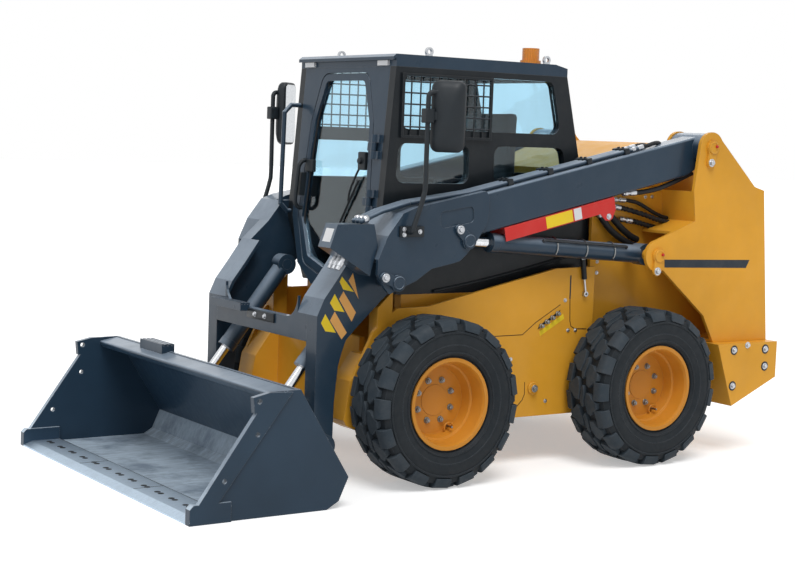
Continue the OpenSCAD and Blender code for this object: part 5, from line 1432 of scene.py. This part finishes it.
class LOADER_OT_door_gear(bpy.types.Operator):
    """Wiper, loop handle, lock and seal of the front door"""
    bl_idname = "loader.door_gear"
    bl_label = "Door gear"

    def execute(self, context):
        hub = on_glass(0.232, 1.548, 0.014)
        arm = sweep("wiper_arm", smooth_path([hub, on_glass(0.200, 1.490, 0.024),
                                              on_glass(0.150, 1.400, 0.024), on_glass(0.128, 1.345, 0.016)],
                                             6), 0.0055, 10)
        blade = sweep("wiper_blade", [on_glass(0.196, 1.450, 0.009), on_glass(0.128, 1.340, 0.0095),
                                      on_glass(0.060, 1.230, 0.009)],
                      0.0065, 8)
        motor = moved(bevelled(mesh_box((-0.010, -0.032, -0.045), (0.016, 0.032, 0.045)), 0.008, 3),
                      Matrix.Translation(hub))
        spindle = moved(revolve("spindle", [(POLE, 0.0), (0.016, 0.0), (0.016, 0.014), (0.012, 0.018),
                                            (POLE, 0.018)], 20),
                        facing(hub + Vector((0.014, 0.0, 0.0)), (1.0, 0.0, 0.076)))
        put("wiper", eased(joined("wiper", [arm, blade, motor, spindle])), "cab_door", "black_plastic")

        def on_frame(y, z, out):
            return at(front_face(z) + out, y, z)

        loop = smooth_path([on_frame(-0.310, 1.285, 0.004), on_frame(-0.310, 1.290, 0.026),
                            on_frame(-0.310, 1.312, 0.044), on_frame(-0.310, 1.345, 0.047),
                            on_frame(-0.308, 1.430, 0.047), on_frame(-0.306, 1.475, 0.047),
                            on_frame(-0.305, 1.508, 0.044), on_frame(-0.304, 1.530, 0.026),
                            on_frame(-0.304, 1.535, 0.004)], 6)
        put("door_loop", eased(sweep("door_loop", loop, 0.011, 14), 60.0), "cab_door", "black_plastic")
        lock = moved(bevelled(mesh_box((-0.004, -0.045, -0.030), (0.020, 0.030, 0.034)), 0.007, 3),
                     Matrix.Translation(on_frame(-0.262, 1.505, -0.012)))
        put("door_lock", eased(lock), "cab_door", "black_plastic")

        corners = ((-0.100, 0.995), (0.100, 0.995), (0.255, 1.055), (0.300, 1.240), (0.258, 1.740),
                   (0.185, 1.955), (-0.185, 1.955), (-0.258, 1.740), (-0.300, 1.240), (-0.255, 1.055))
        loops = []
        count = len(corners)
        for i, (y, z) in enumerate(corners):
            for other, share in ((corners[i - 1], 0.16), (corners[(i + 1) % count], 0.16)):
                loops.append(on_glass(y + (other[0] - y) * share, z + (other[1] - z) * share, 0.004))
        seal = sweep("door_seal", smooth_path(loops + [loops[0]], 5), 0.0060, 8)
        put("door_seal", eased(seal, 60.0), "cab_door", "tyre_rubber", "hose_rubber")
        return {"FINISHED"}


class LOADER_OT_bucket_fittings(bpy.types.Operator):
    """Plough bolts and plate joints of the cutting edge"""
    bl_idname = "loader.bucket_fittings"
    bl_label = "Bucket fittings"

    def execute(self, context):
        cup = revolve("cup", [(POLE, 0.0), (0.0150, 0.0), (0.0150, 0.0008), (POLE, 0.0008)], 20)
        head = bevelled(mesh_box((-0.0075, 0.0006, -0.0075), (0.0075, 0.0022, 0.0075)), 0.0005, 1)
        one = joined("plough_bolt", [cup, head])
        upright = Matrix.Rotation(math.pi / 2, 4, "X")
        pair = joined("bolt_pair", [moved(one.copy(), Matrix.Translation((x, y, 0.0)) @ upright)
                                    for x, y in ((-0.052, -0.018), (-0.052, 0.018))])
        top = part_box("cutting_edge")[1][2]
        bolts = row("edge_bolts", pair, 13, at(2.040, -0.864, top), at(2.040, 0.864, top), "dark_steel")
        put("edge_bolts", eased(bolts), "bucket", "worn_steel", "dark_steel")
        strip = mesh_box((-0.066, -0.0018, 0.0), (0.086, 0.0018, 0.0007))
        seams = row("edge_seams", strip, 2, at(1.974, -0.312, top), at(1.974, 0.312, top), "dark_steel")
        put("edge_seams", seams, "bucket", "worn_steel", "dark_steel")
        seam = mesh_box(at(1.9060, -0.937, 0.0140), at(1.9090, 0.937, 0.0246))
        put("edge_joint", seam, "bucket", "worn_steel", "dark_steel")
        return {"FINISHED"}


class LOADER_OT_rear_louvres(bpy.types.Operator):
    """Louvres and pull handle of the rear door"""
    bl_idname = "loader.rear_louvres"
    bl_label = "Rear louvres"

    def execute(self, context):
        slat = prism("slat", ((0.004, -0.014), (0.004, 0.014), (-0.003, 0.014), (-0.0095, -0.008),
                              (-0.0095, -0.014)), 0.720)
        slat = eased(bevelled(moved(slat, Matrix.Translation((0.0, -0.360, 0.0))), 0.0012, 1))
        slats = row("louvres", slat, 12, at(gate_face(0.820), 0.0, 0.820), at(gate_face(1.340), 0.0, 1.340),
                    "slate_paint")
        put("louvres", eased(slats), "rear_door", "slate_paint")
        grip = [at(gate_face(1.00) + 0.004, 0.410, 1.000), at(gate_face(1.00) - 0.004, 0.410, 1.002),
                at(gate_face(1.02) - 0.010, 0.410, 1.022), at(gate_face(1.06) - 0.011, 0.410, 1.060),
                at(gate_face(1.10) - 0.010, 0.410, 1.098), at(gate_face(1.12) - 0.004, 0.410, 1.118),
                at(gate_face(1.12) + 0.004, 0.410, 1.120)]
        put("rear_pull", eased(sweep("rear_pull", smooth_path(grip, 6), 0.006, 12), 60.0), "rear_door",
            "black_plastic")
        return {"FINISHED"}


class LOADER_OT_seat(bpy.types.Operator):
    """Seat: a rigid box with a padded cushion and back"""
    bl_idname = "loader.seat"
    bl_label = "Seat"

    def execute(self, context):
        low, high = (Vector(p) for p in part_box("seat"))
        front, floor = high.x, low.z
        base_top = floor + SEAT_STAND_H
        box = bevelled(mesh_box((low.x + 0.07, low.y + 0.02, floor), (front - 0.08, high.y - 0.02, base_top)),
                       0.012, 3)
        put("seat_stand", eased(box), "chassis", "black_plastic")
        seat = cushion("seat_cushion", (low.x + 0.13, low.y + 0.015, base_top + 0.008),
                       (front - 0.006, high.y - 0.015, base_top + 0.115))
        back = cushion("seat_back", (low.x + 0.035, low.y + 0.02, base_top + 0.130),
                       (low.x + 0.125, high.y - 0.02, high.z - 0.02))
        for piece in (seat, back):
            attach(piece, "chassis")
        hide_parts("seat")
        return {"FINISHED"}


class LOADER_PT_panel(bpy.types.Panel):
    """Lists the operators of the loader"""
    bl_idname = "LOADER_PT_panel"
    bl_label = "Loader"
    bl_space_type = "VIEW_3D"
    bl_region_type = "UI"
    bl_category = "Loader"

    def draw(self, context):
        for operator in OPERATORS:
            self.layout.operator(operator.bl_idname)
        for group in (context.scene.loader_sizes, context.scene.loader_colours):
            box = self.layout.box()
            for name in group.__annotations__:
                box.prop(group, name)


OPERATORS = (
    LOADER_OT_stage,
    LOADER_OT_hoses,
    LOADER_OT_finishes,
    LOADER_OT_tyres,
    LOADER_OT_wheel_fasteners,
    LOADER_OT_seat,
    LOADER_OT_marks,
    LOADER_OT_pin_fasteners,
    LOADER_OT_side_fittings,
    LOADER_OT_lift_pipes,
    LOADER_OT_arm_fittings,
    LOADER_OT_mirrors,
    LOADER_OT_door_gear,
    LOADER_OT_bucket_fittings,
    LOADER_OT_rear_louvres,
)
CLASSES = (LoaderSizes, LoaderColours, *OPERATORS, LOADER_PT_panel)


def register():
    for cls in CLASSES:
        bpy.utils.register_class(cls)
    bpy.types.Scene.loader_sizes = bpy.props.PointerProperty(type=LoaderSizes)
    bpy.types.Scene.loader_colours = bpy.props.PointerProperty(type=LoaderColours)


def unregister():
    del bpy.types.Scene.loader_colours
    del bpy.types.Scene.loader_sizes
    for cls in reversed(CLASSES):
        bpy.utils.unregister_class(cls)


def main():
    register()
    for operator in OPERATORS:
        group, name = operator.bl_idname.split(".")
        getattr(getattr(bpy.ops, group), name)()


if __name__ == "__main__":
    main()
